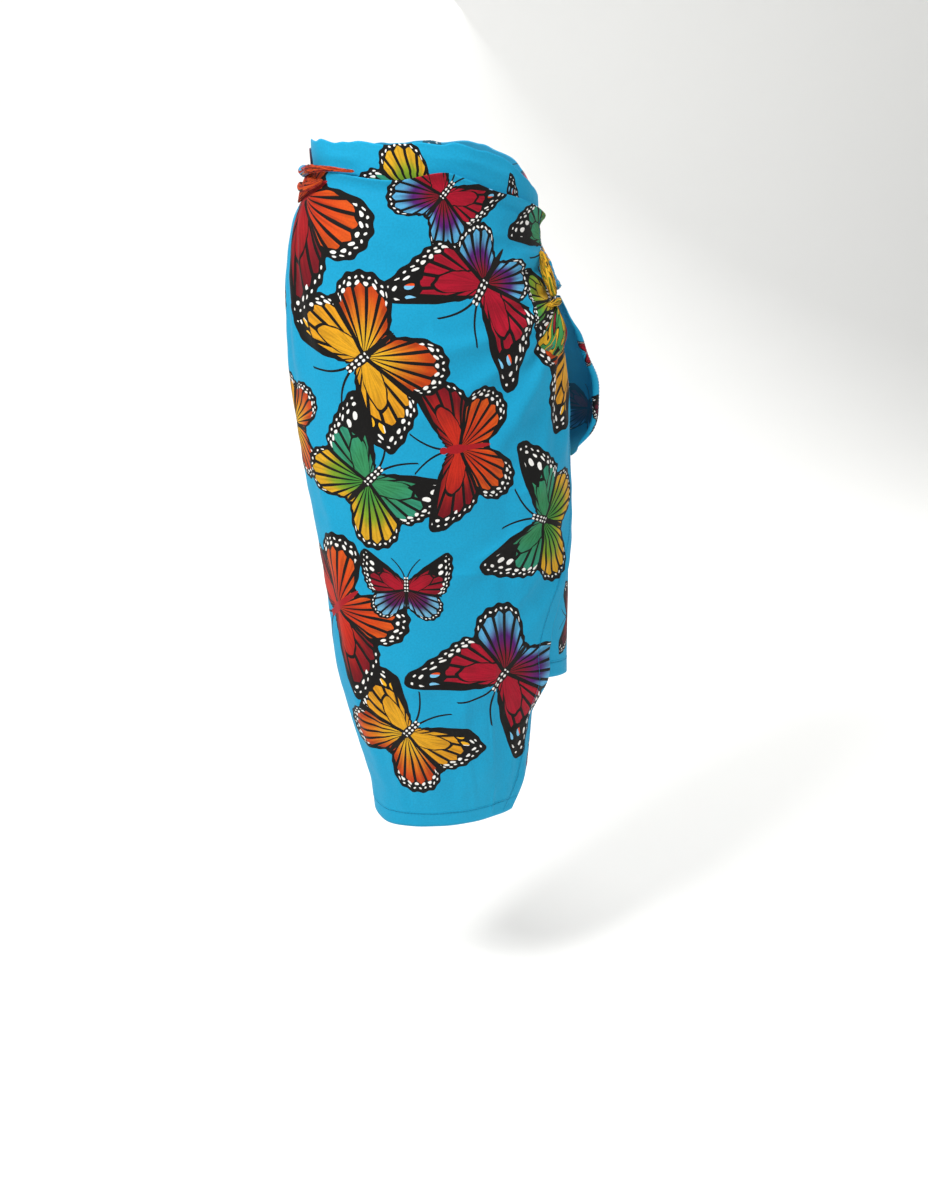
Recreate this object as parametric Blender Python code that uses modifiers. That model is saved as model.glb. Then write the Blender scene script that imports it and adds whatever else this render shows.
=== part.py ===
"""A wrapped sarong: one length of printed cloth wound round the hips and knotted at the left hip.

Metres, +Z up. The origin is the middle of the waist at the height of the tie, the front faces -Y
and the wearer's left is +X. Angles run round the body in degrees: 0 is the front, 90 the left hip,
180 the back and -90 the right hip.
"""

import math
from collections import namedtuple

import bmesh
import bpy
from mathutils import Vector

# Driving sizes
CLOTH = 0.0012
LAYER_CLEARANCE = 0.0015
LAYER_STEP = CLOTH + LAYER_CLEARANCE
SEAM_GAP = 0.0010
BODY_RADIUS = 0.135
PER_DEGREE = BODY_RADIUS * math.radians(1)

# Where each stretch of the cloth begins and ends, going round the body
UNDER_START = -120
START_TUCK = 0.0012
RIGHT_SEAM = 250
TAIL_START = 28
TAIL_END = 119
FULL_TURN = 360

# Colours of the cloth and of the print that shows on its twisted corners
COLOURS = {
    "turquoise_cloth": (0.055, 0.44, 0.66, 1),
    "crimson_print": (0.48, 0.035, 0.05, 1),
    "gold_print": (0.62, 0.42, 0.10, 1),
}
ROUGHNESS = 0.8

# Half sizes of the innermost layer at each height, and how far its middle lies off the axis
Section = namedtuple("Section", "height half_width half_depth sideways backward")
SECTIONS = [
    Section(0.060, 0.126, 0.090, 0.000, 0.000),
    Section(0.034, 0.131, 0.094, 0.000, 0.000),
    Section(0.000, 0.136, 0.099, 0.000, 0.001),
    Section(-0.045, 0.142, 0.105, -0.001, 0.003),
    Section(-0.090, 0.145, 0.108, -0.004, 0.005),
    Section(-0.150, 0.157, 0.116, 0.004, 0.008),
    Section(-0.210, 0.161, 0.119, 0.009, 0.009),
    Section(-0.270, 0.162, 0.118, 0.014, 0.007),
    Section(-0.330, 0.162, 0.115, 0.017, 0.004),
    Section(-0.400, 0.154, 0.110, 0.019, 0.001),
    Section(-0.500, 0.142, 0.103, 0.021, -0.001),
    Section(-0.600, 0.132, 0.095, 0.021, -0.002),
    Section(-0.660, 0.120, 0.088, 0.023, -0.002),
    Section(-0.730, 0.108, 0.080, 0.030, -0.001),
    Section(-0.765, 0.102, 0.075, 0.033, 0.000),
    Section(-0.805, 0.095, 0.069, 0.031, 0.000),
]

# Edges of the stretches: how high each lies, going round the body
Edge = namedtuple("Edge", "angle height")
UNDER_TOP = [
    Edge(-120, 0.034),
    Edge(-80, 0.036),
    Edge(-50, 0.039),
    Edge(-20, 0.041),
    Edge(5, 0.038),
    Edge(22, 0.028),
    Edge(32, 0.018),
    Edge(42, 0.006),
    Edge(54, -0.011),
    Edge(68, -0.028),
    Edge(82, -0.036),
    Edge(96, -0.026),
    Edge(112, -0.004),
    Edge(130, 0.010),
    Edge(160, 0.021),
    Edge(200, 0.029),
    Edge(250, 0.034),
]
UNDER_HEM = [
    Edge(-120, -0.786),
    Edge(0, -0.788),
    Edge(60, -0.779),
    Edge(100, -0.772),
    Edge(160, -0.782),
    Edge(215, -0.793),
    Edge(250, -0.792),
]
FRONT_TOP = [
    Edge(-110, 0.000),
    Edge(-85, 0.004),
    Edge(-60, 0.008),
    Edge(-26, 0.002),
    Edge(-3, 0.009),
    Edge(10, -0.002),
    Edge(22, -0.014),
    Edge(40, -0.027),
    Edge(60, -0.044),
    Edge(78, -0.058),
]
FRONT_HEM = [
    Edge(-110, -0.792),
    Edge(-60, -0.798),
    Edge(-20, -0.803),
    Edge(20, -0.803),
    Edge(50, -0.796),
    Edge(78, -0.784),
]
TAIL_TOP = [
    Edge(28, -0.135),
    Edge(60, -0.165),
    Edge(78, -0.200),
    Edge(95, -0.245),
    Edge(108, -0.290),
    Edge(119, -0.325),
]
TAIL_HEM = [Edge(28, -0.608), Edge(60, -0.624), Edge(85, -0.632), Edge(105, -0.624), Edge(119, -0.610)]

# The free edge of the outer stretch: the angle that it hangs at, by its share of the drop
FreeEdge = namedtuple("FreeEdge", "share angle")
FREE_EDGE = [
    FreeEdge(0.00, 76),
    FreeEdge(0.06, 73),
    FreeEdge(0.12, 66),
    FreeEdge(0.20, 74),
    FreeEdge(0.33, 77),
    FreeEdge(0.46, 76),
    FreeEdge(0.52, 72),
    FreeEdge(0.58, 61),
    FreeEdge(0.64, 52),
    FreeEdge(0.71, 47),
    FreeEdge(0.78, 50),
    FreeEdge(0.86, 55),
    FreeEdge(0.91, 51),
    FreeEdge(0.96, 44),
    FreeEdge(1.00, 36),
]

# Below the widest part of the hip, the cloth at the left side hangs straight from it
HANG_TOP = -0.290
HANG_SHARE = 0.95
HANG_FROM = 15
HANG_FULL = 75

# The outer stretch rides over the tail, by so many layers more, from here to where the tail ends
OVER_TAIL = 1.2
OVER_TAIL_FROM = 16
OVER_TAIL_DEGREES = 10
OVER_TAIL_TOP = -0.100
OVER_TAIL_RISE = 0.030
TAIL_DROP = -0.600
TAIL_FADE = 0.080

# Its free edge stands off what lies under it
EDGE_LIFT = 0.0018
EDGE_DEGREES = 16

# The inner stretch is tucked in where it starts, and passes outwards to meet the outer stretch
TUCK_DEGREES = 28
TUCK_FADE = 18
PASS_FROM = 215
PASS_DEGREES = 30

# Soft folds that rise from a stretch, each along a line that widens from its first end to its last
Fold = namedtuple("Fold", "angle height to_angle to_height width to_width rise")
FOLD_OVERRUN = 0.10
FOLD_START = 0.25
FOLD_FINISH = 0.35
FRONT_FOLDS = [
    Fold(-102, -0.028, -108, -0.300, 0.006, 0.020, 0.0050),
    Fold(-97, -0.028, -95, -0.320, 0.006, 0.016, 0.0050),
    Fold(-92, -0.026, -80, -0.260, 0.006, 0.018, 0.0045),
    Fold(-88, -0.022, -60, -0.190, 0.006, 0.022, 0.0040),
    Fold(-84, -0.018, -38, -0.090, 0.006, 0.018, 0.0028),
    Fold(53, -0.154, 20, -0.174, 0.006, 0.020, 0.0040),
    Fold(53, -0.160, 34, -0.270, 0.006, 0.022, 0.0060),
    Fold(55, -0.162, 54, -0.360, 0.007, 0.018, 0.0045),
    Fold(58, -0.160, 68, -0.300, 0.006, 0.014, 0.0040),
    Fold(70, -0.086, 24, -0.094, 0.007, 0.016, 0.0030),
    Fold(66, -0.290, 24, -0.380, 0.012, 0.026, 0.0028),
    Fold(54, -0.400, 4, -0.540, 0.014, 0.034, 0.0030),
    Fold(12, -0.470, 10, -0.790, 0.014, 0.022, 0.0036),
    Fold(-30, -0.560, -22, -0.790, 0.014, 0.024, 0.0036),
    Fold(40, -0.600, 44, -0.790, 0.012, 0.018, 0.0050),
    Fold(-72, -0.420, -64, -0.790, 0.016, 0.024, 0.0040),
]
UNDER_FOLDS = [
    Fold(120, -0.060, 128, -0.560, 0.010, 0.026, 0.0050),
    Fold(146, -0.050, 150, -0.420, 0.010, 0.022, 0.0040),
    Fold(168, -0.200, 176, -0.700, 0.016, 0.028, 0.0050),
    Fold(206, -0.060, 202, -0.500, 0.010, 0.024, 0.0045),
    Fold(226, -0.240, 228, -0.770, 0.014, 0.024, 0.0045),
]
TAIL_FOLDS = [
    Fold(66, -0.240, 68, -0.610, 0.008, 0.014, 0.0040),
    Fold(92, -0.240, 90, -0.610, 0.010, 0.016, 0.0060),
    Fold(110, -0.240, 112, -0.600, 0.010, 0.016, 0.0045),
]

# The folds of the inner stretch begin below its top edge, and all folds die out before a seam
UNDER_FOLD_TOP = -0.045
UNDER_FOLD_FADE = 0.050
UNDER_SEAM_DEGREES = 14
FRONT_SEAM_DEGREES = 9
TAIL_FOLD_FROM = 80
TAIL_FOLD_DEGREES = 12

# The outer stretch is rolled over along its top edge, from the right hip to its free edge
ROLLED_RISE = 0.0026
ROLLED_WIDTH = 0.007
ROLLED_FROM = -85
ROLLED_FULL = -45

# The twisted corners of the cloth: each roll's centre line, and its gap to the body under it
RollPoint = namedtuple("RollPoint", "angle height outward radius")
BACK_TIE = [
    RollPoint(-46, 0.011, 0.0059, 0.0016),
    RollPoint(-62, 0.012, 0.0059, 0.0036),
    RollPoint(-80, 0.009, 0.0047, 0.0062),
    RollPoint(-96, 0.004, 0.0044, 0.0074),
    RollPoint(-112, 0.000, 0.0042, 0.0070),
    RollPoint(-150, -0.008, 0.0034, 0.0066),
    RollPoint(-190, -0.018, 0.0014, 0.0064),
    RollPoint(-225, -0.036, 0.0014, 0.0066),
    RollPoint(-245, -0.060, 0.0028, 0.0068),
    RollPoint(-257, -0.086, 0.0036, 0.0070),
    RollPoint(-267, -0.112, 0.0030, 0.0068),
    RollPoint(-276, -0.132, 0.0020, 0.0056),
    RollPoint(-285, -0.142, 0.0060, 0.0040),
]
HIP_STRAND = [
    RollPoint(-66, -0.001, 0.0058, 0.0022),
    RollPoint(-76, -0.008, 0.0054, 0.0048),
    RollPoint(-88, -0.014, 0.0056, 0.0066),
    RollPoint(-100, -0.015, 0.0054, 0.0068),
    RollPoint(-112, -0.018, 0.0046, 0.0050),
]
KNOT_END = [
    RollPoint(56, -0.078, 0.0060, 0.0034),
    RollPoint(55, -0.092, 0.0066, 0.0064),
    RollPoint(54, -0.110, 0.0066, 0.0080),
    RollPoint(53, -0.126, 0.0076, 0.0070),
    RollPoint(53, -0.139, 0.0092, 0.0042),
]
KNOT_BAND = [
    RollPoint(44, -0.151, 0.0080, 0.0024),
    RollPoint(48, -0.150, 0.0096, 0.0044),
    RollPoint(53, -0.149, 0.0110, 0.0052),
    RollPoint(58, -0.150, 0.0096, 0.0044),
    RollPoint(62, -0.151, 0.0080, 0.0026),
]
ROLL_SIDES = 10
ROLL_LOBES = 5
LOBE_DEPTH = 0.10
TURNS_PER_METRE = 9

# The loop of loose cloth below the knot: it leaves the hip at one angle and ends in a lip at another
Swag = namedtuple("Swag", "height root lip bulge")
SWAG = [
    Swag(-0.152, 78, 69, 0.0060),
    Swag(-0.165, 86, 73, 0.0110),
    Swag(-0.180, 94, 78, 0.0180),
    Swag(-0.210, 106, 81, 0.0340),
    Swag(-0.258, 118, 83, 0.0490),
    Swag(-0.295, 122, 83, 0.0500),
    Swag(-0.325, 123, 81, 0.0400),
    Swag(-0.340, 123, 80, 0.0260),
    Swag(-0.352, 123, 79, 0.0050),
]
SWAG_STEP = CLOTH + 0.0005
SWAG_FULL = 0.62
LIP_DROOP = 0.22

# The tie pinches the cloth inwards at the right hip
PINCH_ANGLE = -98
PINCH_HEIGHT = -0.006
PINCH_DEPTH = 0.010
PINCH_DEGREES = 26
PINCH_SPREAD = 0.032


def slope(rows, index, key, column):
    """The slope of a column at one row, from the rows on each side of it."""
    low = rows[max(index - 1, 0)]
    high = rows[min(index + 1, len(rows) - 1)]
    return (getattr(high, column) - getattr(low, column)) / (getattr(high, key) - getattr(low, key))


def read(rows, key, at, column):
    """A column of a table, read smoothly between its rows. The key may rise or fall down the table."""
    keys = [getattr(row, key) for row in rows]
    if keys[0] > keys[-1]:
        rows = rows[::-1]
        keys = keys[::-1]
    at = min(max(at, keys[0]), keys[-1])
    index = max(i for i in range(len(keys) - 1) if keys[i] <= at)
    span = keys[index + 1] - keys[index]
    t = (at - keys[index]) / span
    first = getattr(rows[index], column)
    last = getattr(rows[index + 1], column)
    rise = slope(rows, index, key, column) * span
    fall = slope(rows, index + 1, key, column) * span
    return (
        first * (2 * t**3 - 3 * t**2 + 1)
        + rise * (t**3 - 2 * t**2 + t)
        + last * (3 * t**2 - 2 * t**3)
        + fall * (t**3 - t**2)
    )


def ease(value):
    """0 below 0, 1 above 1 and a smooth step between."""
    value = min(max(value, 0), 1)
    return value * value * (3 - 2 * value)


def body_point(angle, height, outward):
    """A point over the body. Each level of the body is an ellipse."""
    half_width, half_depth, sideways, backward = (
        read(SECTIONS, "height", height, column) for column in Section._fields[1:]
    )
    around = (angle + FULL_TURN / 2 - PINCH_ANGLE) % FULL_TURN - FULL_TURN / 2
    away = (around / PINCH_DEGREES) ** 2 + ((height - PINCH_HEIGHT) / PINCH_SPREAD) ** 2
    outward -= PINCH_DEPTH * math.exp(-away)
    turn = math.radians(angle)
    x = sideways + (half_width + outward) * math.sin(turn)
    y = backward - (half_depth + outward) * math.cos(turn)
    return Vector((x, y, height))


def side_hang(angle, height):
    """How far the cloth at the left side stands off the body, which narrows below the hip."""
    if height > HANG_TOP:
        return 0
    widest = read(SECTIONS, "height", HANG_TOP, "half_width")
    narrowing = widest - read(SECTIONS, "height", height, "half_width")
    return HANG_SHARE * max(narrowing, 0) * ease((angle - HANG_FROM) / (HANG_FULL - HANG_FROM))


def fold_rise(folds, angle, height):
    """How far the folds lift the cloth there. Each is highest near its middle and runs out at its ends."""
    total = 0
    for fold in folds:
        run = Vector(((fold.to_angle - fold.angle) * PER_DEGREE, fold.to_height - fold.height))
        here = Vector(((angle - fold.angle) * PER_DEGREE, height - fold.height))
        share = here.dot(run) / run.length_squared
        past_start = share + FOLD_OVERRUN
        before_end = 1 + FOLD_OVERRUN - share
        if past_start > 0 and before_end > 0:
            across = abs(here.cross(run)) / run.length
            width = fold.width + (fold.to_width - fold.width) * min(max(share, 0), 1)
            ends = ease(past_start / FOLD_START) * ease(before_end / FOLD_FINISH)
            total += fold.rise * ends * math.exp(-((across / width) ** 2))
    return total


def between(top, hem, angle, share):
    """A height on a stretch: its share of the way from the top edge to the hem."""
    start = read(top, "angle", angle, "height")
    return start + share * (read(hem, "angle", angle, "height") - start)


def under_offset(angle, height):
    """How far the inner stretch lies off the body. It passes outwards where the outer stretch begins."""
    meets_front = LAYER_STEP * ease((angle - PASS_FROM) / PASS_DEGREES)
    tucked = START_TUCK * ease((UNDER_START + TUCK_DEGREES - angle) / TUCK_FADE)
    before_seam = ease((RIGHT_SEAM - angle) / UNDER_SEAM_DEGREES)
    below_top = ease((UNDER_FOLD_TOP - height) / UNDER_FOLD_FADE)
    return meets_front - tucked + before_seam * below_top * fold_rise(UNDER_FOLDS, angle, height)


def under_wrap(u, v):
    """The inner stretch: across the front, round the left hip and over the back to the right hip."""
    seam_height = between(UNDER_TOP, UNDER_HEM, RIGHT_SEAM, v)
    gap = SEAM_GAP / read(SECTIONS, "height", seam_height, "half_depth")
    angle = UNDER_START + u * (RIGHT_SEAM - math.degrees(gap) - UNDER_START)
    height = between(UNDER_TOP, UNDER_HEM, angle, v)
    return body_point(angle, height, under_offset(angle, height))


def tail_offset(angle, height):
    """How far the tail lies off the body. It hangs straight down at the left side."""
    shows = ease((angle - TAIL_FOLD_FROM) / TAIL_FOLD_DEGREES)
    rise = shows * fold_rise(TAIL_FOLDS, angle, height)
    return under_offset(angle, height) + LAYER_STEP + side_hang(angle, height) + rise


def tail_panel(u, v):
    """The end of the cloth that hangs below the knot, partly under the outer stretch."""
    angle = TAIL_START + u * (TAIL_END - TAIL_START)
    height = between(TAIL_TOP, TAIL_HEM, angle, v)
    return body_point(angle, height, tail_offset(angle, height))


def front_wrap(u, v):
    """The outer stretch: from the right hip across the front to its free edge below the knot."""
    start = RIGHT_SEAM - FULL_TURN
    end = read(FREE_EDGE, "share", v, "angle")
    angle = start + u * (end - start)
    height = between(FRONT_TOP, FRONT_HEM, angle, v)
    from_top = read(FRONT_TOP, "angle", angle, "height") - height
    rolled = ROLLED_RISE * math.exp(-((from_top / ROLLED_WIDTH) ** 2))
    rolled *= ease((angle - ROLLED_FROM) / (ROLLED_FULL - ROLLED_FROM))
    above_end = 1 - ease((TAIL_DROP - height) / TAIL_FADE)
    over_side = ease((angle - OVER_TAIL_FROM) / OVER_TAIL_DEGREES)
    over_top = ease((OVER_TAIL_TOP - height) / OVER_TAIL_RISE)
    layers = 1 + OVER_TAIL * over_side * over_top * above_end
    hang = side_hang(angle, height) * above_end
    lift = EDGE_LIFT * ease((angle - end) / EDGE_DEGREES + 1)
    rise = ease((angle - start) / FRONT_SEAM_DEGREES) * fold_rise(FRONT_FOLDS, angle, height)
    return body_point(angle, height, LAYER_STEP * layers + hang + rolled + lift + rise)


def knot_swag(u, v):
    """The loop of loose cloth. It swings out from the hip, and its lip turns in a little."""
    height = SWAG[0].height + v * (SWAG[-1].height - SWAG[0].height)
    root, lip, bulge = (read(SWAG, "height", height, column) for column in Swag._fields[1:])
    angle = root + u * (lip - root)
    swing = ease(u / SWAG_FULL) - LIP_DROOP * ease((u - SWAG_FULL) / (1 - SWAG_FULL))
    return body_point(angle, height, tail_offset(angle, height) + SWAG_STEP + swing * bulge)


def cloth_material(name, colour):
    material = bpy.data.materials.new(name)
    material.use_nodes = True
    shader = material.node_tree.nodes["Principled BSDF"]
    shader.inputs["Base Color"].default_value = colour
    shader.inputs["Roughness"].default_value = ROUGHNESS
    shader.inputs["Metallic"].default_value = 0
    return material


def add_cloth_panel(panel, collection, material):
    """A grid on the panel's surface, its rows drawn towards the top, given the cloth's thickness."""
    mesh = bpy.data.meshes.new(panel.name)
    grid = bmesh.new()
    bmesh.ops.create_grid(grid, x_segments=panel.columns, y_segments=panel.rows, size=0.5)
    for vertex in grid.verts:
        u = min(vertex.co.x + 0.5, 1)
        v = min(max(0.5 - vertex.co.y, 0) ** panel.crowding, 1)
        vertex.co = panel.point_at(u, v)
    grid.to_mesh(mesh)
    grid.free()
    mesh.shade_smooth()
    mesh.materials.append(material)
    piece = bpy.data.objects.new(panel.name, mesh)
    wall = piece.modifiers.new("wall", "SOLIDIFY")
    wall.thickness = CLOTH
    wall.offset = 0
    collection.objects.link(piece)


def add_roll_profile(name, collection):
    """The lobed outline of gathered cloth, one unit in radius, which the rolls are swept with."""
    outline = bpy.data.curves.new(name, "CURVE")
    outline.dimensions = "2D"
    spline = outline.splines.new("POLY")
    spline.points.add(ROLL_SIDES - 1)
    for i, point in enumerate(spline.points):
        turn = -2 * math.pi * i / ROLL_SIDES
        radius = 1 + LOBE_DEPTH * math.cos(ROLL_LOBES * turn)
        point.co = (radius * math.cos(turn), radius * math.sin(turn), 0, 1)
    spline.use_cyclic_u = True
    profile = bpy.data.objects.new(name, outline)
    profile.hide_render = True
    profile.display_type = "WIRE"
    collection.objects.link(profile)
    return profile


def add_twisted_roll(name, points, radii, profile, collection, material):
    """A roll of twisted cloth along the points, turning as it goes."""
    curve = bpy.data.curves.new(name, "CURVE")
    curve.dimensions = "3D"
    curve.bevel_mode = "OBJECT"
    curve.bevel_object = profile
    curve.use_fill_caps = True
    curve.twist_mode = "MINIMUM"
    spline = curve.splines.new("POLY")
    spline.points.add(len(points) - 1)
    run = 0
    for i, place in enumerate(points):
        run += (place - points[max(i - 1, 0)]).length
        spline.points[i].co = (*place, 1)
        spline.points[i].radius = radii[i]
        spline.points[i].tilt = 2 * math.pi * TURNS_PER_METRE * run
    roll = bpy.data.objects.new(name, curve)
    curve.materials.append(material)
    collection.objects.link(roll)


def roll_route(rows, steps):
    """A roll's centre line and radii, read evenly down its table."""
    points = []
    radii = []
    for i in range(steps + 1):
        place = i / steps * (len(rows) - 1)
        index = min(int(place), len(rows) - 2)
        along = place - index
        angle, height, outward, radius = (
            first + along * (last - first) for first, last in zip(rows[index], rows[index + 1])
        )
        points.append(body_point(angle, height, outward + radius * (1 + LOBE_DEPTH)))
        radii.append(radius)
    return points, radii


# The pieces, each a named solid
Panel = namedtuple("Panel", "name point_at columns rows crowding")
PANELS = [
    Panel("under_wrap", under_wrap, 44, 24, 1.4),
    Panel("front_wrap", front_wrap, 46, 27, 1.3),
    Panel("tail_panel", tail_panel, 16, 13, 1),
    Panel("knot_swag", knot_swag, 12, 14, 1),
]
Roll = namedtuple("Roll", "name route steps material")
ROLLS = [
    Roll("back_tie", BACK_TIE, 48, "crimson_print"),
    Roll("hip_strand", HIP_STRAND, 12, "crimson_print"),
    Roll("knot_end", KNOT_END, 12, "gold_print"),
    Roll("knot_band", KNOT_BAND, 8, "turquoise_cloth"),
]


def main():
    for old in list(bpy.data.objects):
        bpy.data.objects.remove(old)
    sarong = bpy.data.collections.new("sarong")
    outlines = bpy.data.collections.new("outlines")
    for collection in (sarong, outlines):
        bpy.context.scene.collection.children.link(collection)
    materials = {name: cloth_material(name, colour) for name, colour in COLOURS.items()}
    for panel in PANELS:
        add_cloth_panel(panel, sarong, materials["turquoise_cloth"])
    profile = add_roll_profile("roll_outline", outlines)
    for roll in ROLLS:
        points, radii = roll_route(roll.route, roll.steps)
        add_twisted_roll(roll.name, points, radii, profile, sarong, materials[roll.material])


main()
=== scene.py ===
import math
from functools import partial

import bmesh
import bpy
import numpy as np
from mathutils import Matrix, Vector


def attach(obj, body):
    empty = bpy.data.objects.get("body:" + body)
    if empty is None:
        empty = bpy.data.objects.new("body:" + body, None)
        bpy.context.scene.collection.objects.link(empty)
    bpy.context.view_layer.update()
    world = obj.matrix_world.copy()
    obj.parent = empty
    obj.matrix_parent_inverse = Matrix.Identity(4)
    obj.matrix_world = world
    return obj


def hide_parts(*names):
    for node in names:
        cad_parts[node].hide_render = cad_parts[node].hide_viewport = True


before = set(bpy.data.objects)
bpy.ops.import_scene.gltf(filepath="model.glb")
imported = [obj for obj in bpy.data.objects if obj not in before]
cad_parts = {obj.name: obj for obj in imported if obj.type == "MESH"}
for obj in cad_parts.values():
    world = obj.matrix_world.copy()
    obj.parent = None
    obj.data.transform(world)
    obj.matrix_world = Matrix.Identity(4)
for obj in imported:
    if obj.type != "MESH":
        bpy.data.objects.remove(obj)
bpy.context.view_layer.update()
print("the packed model is loaded")


def addObject(name, data):
    thing = bpy.data.objects.new(name, data)
    bpy.context.scene.collection.objects.link(thing)
    return thing


def toMesh(name, grid):
    mesh = bpy.data.meshes.new(name)
    grid.to_mesh(mesh)
    grid.free()
    mesh.shade_smooth()
    return mesh


def facing(way):
    return way.to_track_quat("-Z", "Y").to_euler()


# The camera comes first: the photograph's own viewing angle
cameraView = {"place": (-0.706, -2.084, 0.258), "look": (0.322, 0.885, -0.3355), "lens": 56.2}
camera = addObject("camera", bpy.data.cameras.new("camera"))
camera.data.lens = cameraView["lens"]
camera.location = cameraView["place"]
camera.rotation_euler = facing(Vector(cameraView["look"]))
bpy.context.scene.camera = camera
bpy.context.scene.view_settings.view_transform = "Standard"
print("the camera is set")


# Reading the tables that give the cloth its form. The first column of a table rises or falls
def readTable(rows, at, column):
    table = np.array(rows, float)
    if table[0, 0] > table[-1, 0]:
        table = table[::-1]
    keys, values = table[:, 0], table[:, column]
    low = np.maximum(np.arange(len(keys)) - 1, 0)
    high = np.minimum(np.arange(len(keys)) + 1, len(keys) - 1)
    slopes = (values[high] - values[low]) / (keys[high] - keys[low])
    at = np.clip(at, keys[0], keys[-1])
    i = np.clip(np.searchsorted(keys, at, side="right") - 1, 0, len(keys) - 2)
    span = keys[i + 1] - keys[i]
    t = (at - keys[i]) / span
    return (
        values[i] * (2 * t**3 - 3 * t**2 + 1)
        + slopes[i] * span * (t**3 - 2 * t**2 + t)
        + values[i + 1] * (3 * t**2 - 2 * t**3)
        + slopes[i + 1] * span * (t**3 - t**2)
    )


def ease(value):
    value = np.clip(value, 0, 1)
    return value * value * (3 - 2 * value)


def rampUp(value, start, width):
    return ease((value - start) / width)


# The form that the cloth is wound round: height, half width, half depth, sideways, backward
body = {
    "sections": [
        (0.060, 0.126, 0.090, 0.000, 0.000),
        (0.034, 0.131, 0.094, 0.000, 0.000),
        (0.000, 0.136, 0.099, 0.000, 0.001),
        (-0.045, 0.142, 0.105, -0.001, 0.003),
        (-0.090, 0.145, 0.108, -0.004, 0.005),
        (-0.150, 0.157, 0.116, 0.004, 0.008),
        (-0.210, 0.161, 0.119, 0.009, 0.009),
        (-0.270, 0.162, 0.118, 0.014, 0.007),
        (-0.330, 0.162, 0.115, 0.017, 0.004),
        (-0.400, 0.154, 0.110, 0.019, 0.001),
        (-0.500, 0.142, 0.103, 0.021, -0.001),
        (-0.600, 0.132, 0.095, 0.021, -0.002),
        (-0.660, 0.120, 0.088, 0.023, -0.002),
        (-0.730, 0.108, 0.080, 0.030, -0.001),
        (-0.765, 0.102, 0.075, 0.033, 0.000),
        (-0.805, 0.095, 0.069, 0.031, 0.000),
    ],
    "radius": 0.135,
    "pinchAngle": -98,
    "pinchHeight": -0.006,
    "pinchDepth": 0.010,
    "pinchDegrees": 26,
    "pinchSpread": 0.032,
    "layerStep": 0.0027,
    "seam": 250,
}
perDegree = body["radius"] * math.radians(1)


def bodyPoint(angle, height, outward):
    halfWidth, halfDepth, sideways, backward = (readTable(body["sections"], height, c) for c in (1, 2, 3, 4))
    around = (angle + 180 - body["pinchAngle"]) % 360 - 180
    away = (around / body["pinchDegrees"]) ** 2 + ((height - body["pinchHeight"]) / body["pinchSpread"]) ** 2
    outward = outward - body["pinchDepth"] * np.exp(-away)
    turn = np.radians(angle)
    x = sideways + (halfWidth + outward) * np.sin(turn)
    y = backward - (halfDepth + outward) * np.cos(turn)
    return np.stack([x, y, height + 0 * x], axis=-1)


# Folds and creases: angle, height, to angle, to height, width, to width, rise. A negative rise is a trough
def foldRise(folds, angle, height):
    total = np.zeros(np.shape(angle))
    for a, h, toA, toH, width, toWidth, rise in folds:
        runA, runH = (toA - a) * perDegree, toH - h
        length = math.hypot(runA, runH)
        hereA, hereH = (angle - a) * perDegree, height - h
        share = (hereA * runA + hereH * runH) / length**2
        across = np.abs(hereA * runH - hereH * runA) / length
        wide = width + (toWidth - width) * np.clip(share, 0, 1)
        ends = ease((share + 0.1) / 0.25) * ease((1.1 - share) / 0.35)
        total += rise * ends * np.exp(-((across / wide) ** 2))
    return total


waveCount = 9


def softWaves(angle, height, size, seed):
    # slow uneven swells, so that no stretch of cloth lies quite smooth
    draw = np.random.default_rng(seed)
    total = np.zeros(np.shape(angle))
    for _ in range(waveCount):
        way = draw.uniform(0, math.pi)
        pace = 2 * math.pi / draw.uniform(0.6 * size, 2.2 * size)
        start = draw.uniform(0, 2 * math.pi)
        total += np.sin(pace * (angle * perDegree * math.cos(way) + height * math.sin(way)) + start)
    return total / waveCount


def heightBetween(top, hem, angle, share):
    start = readTable(top, angle, 1)
    return start + share * (readTable(hem, angle, 1) - start)


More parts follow.
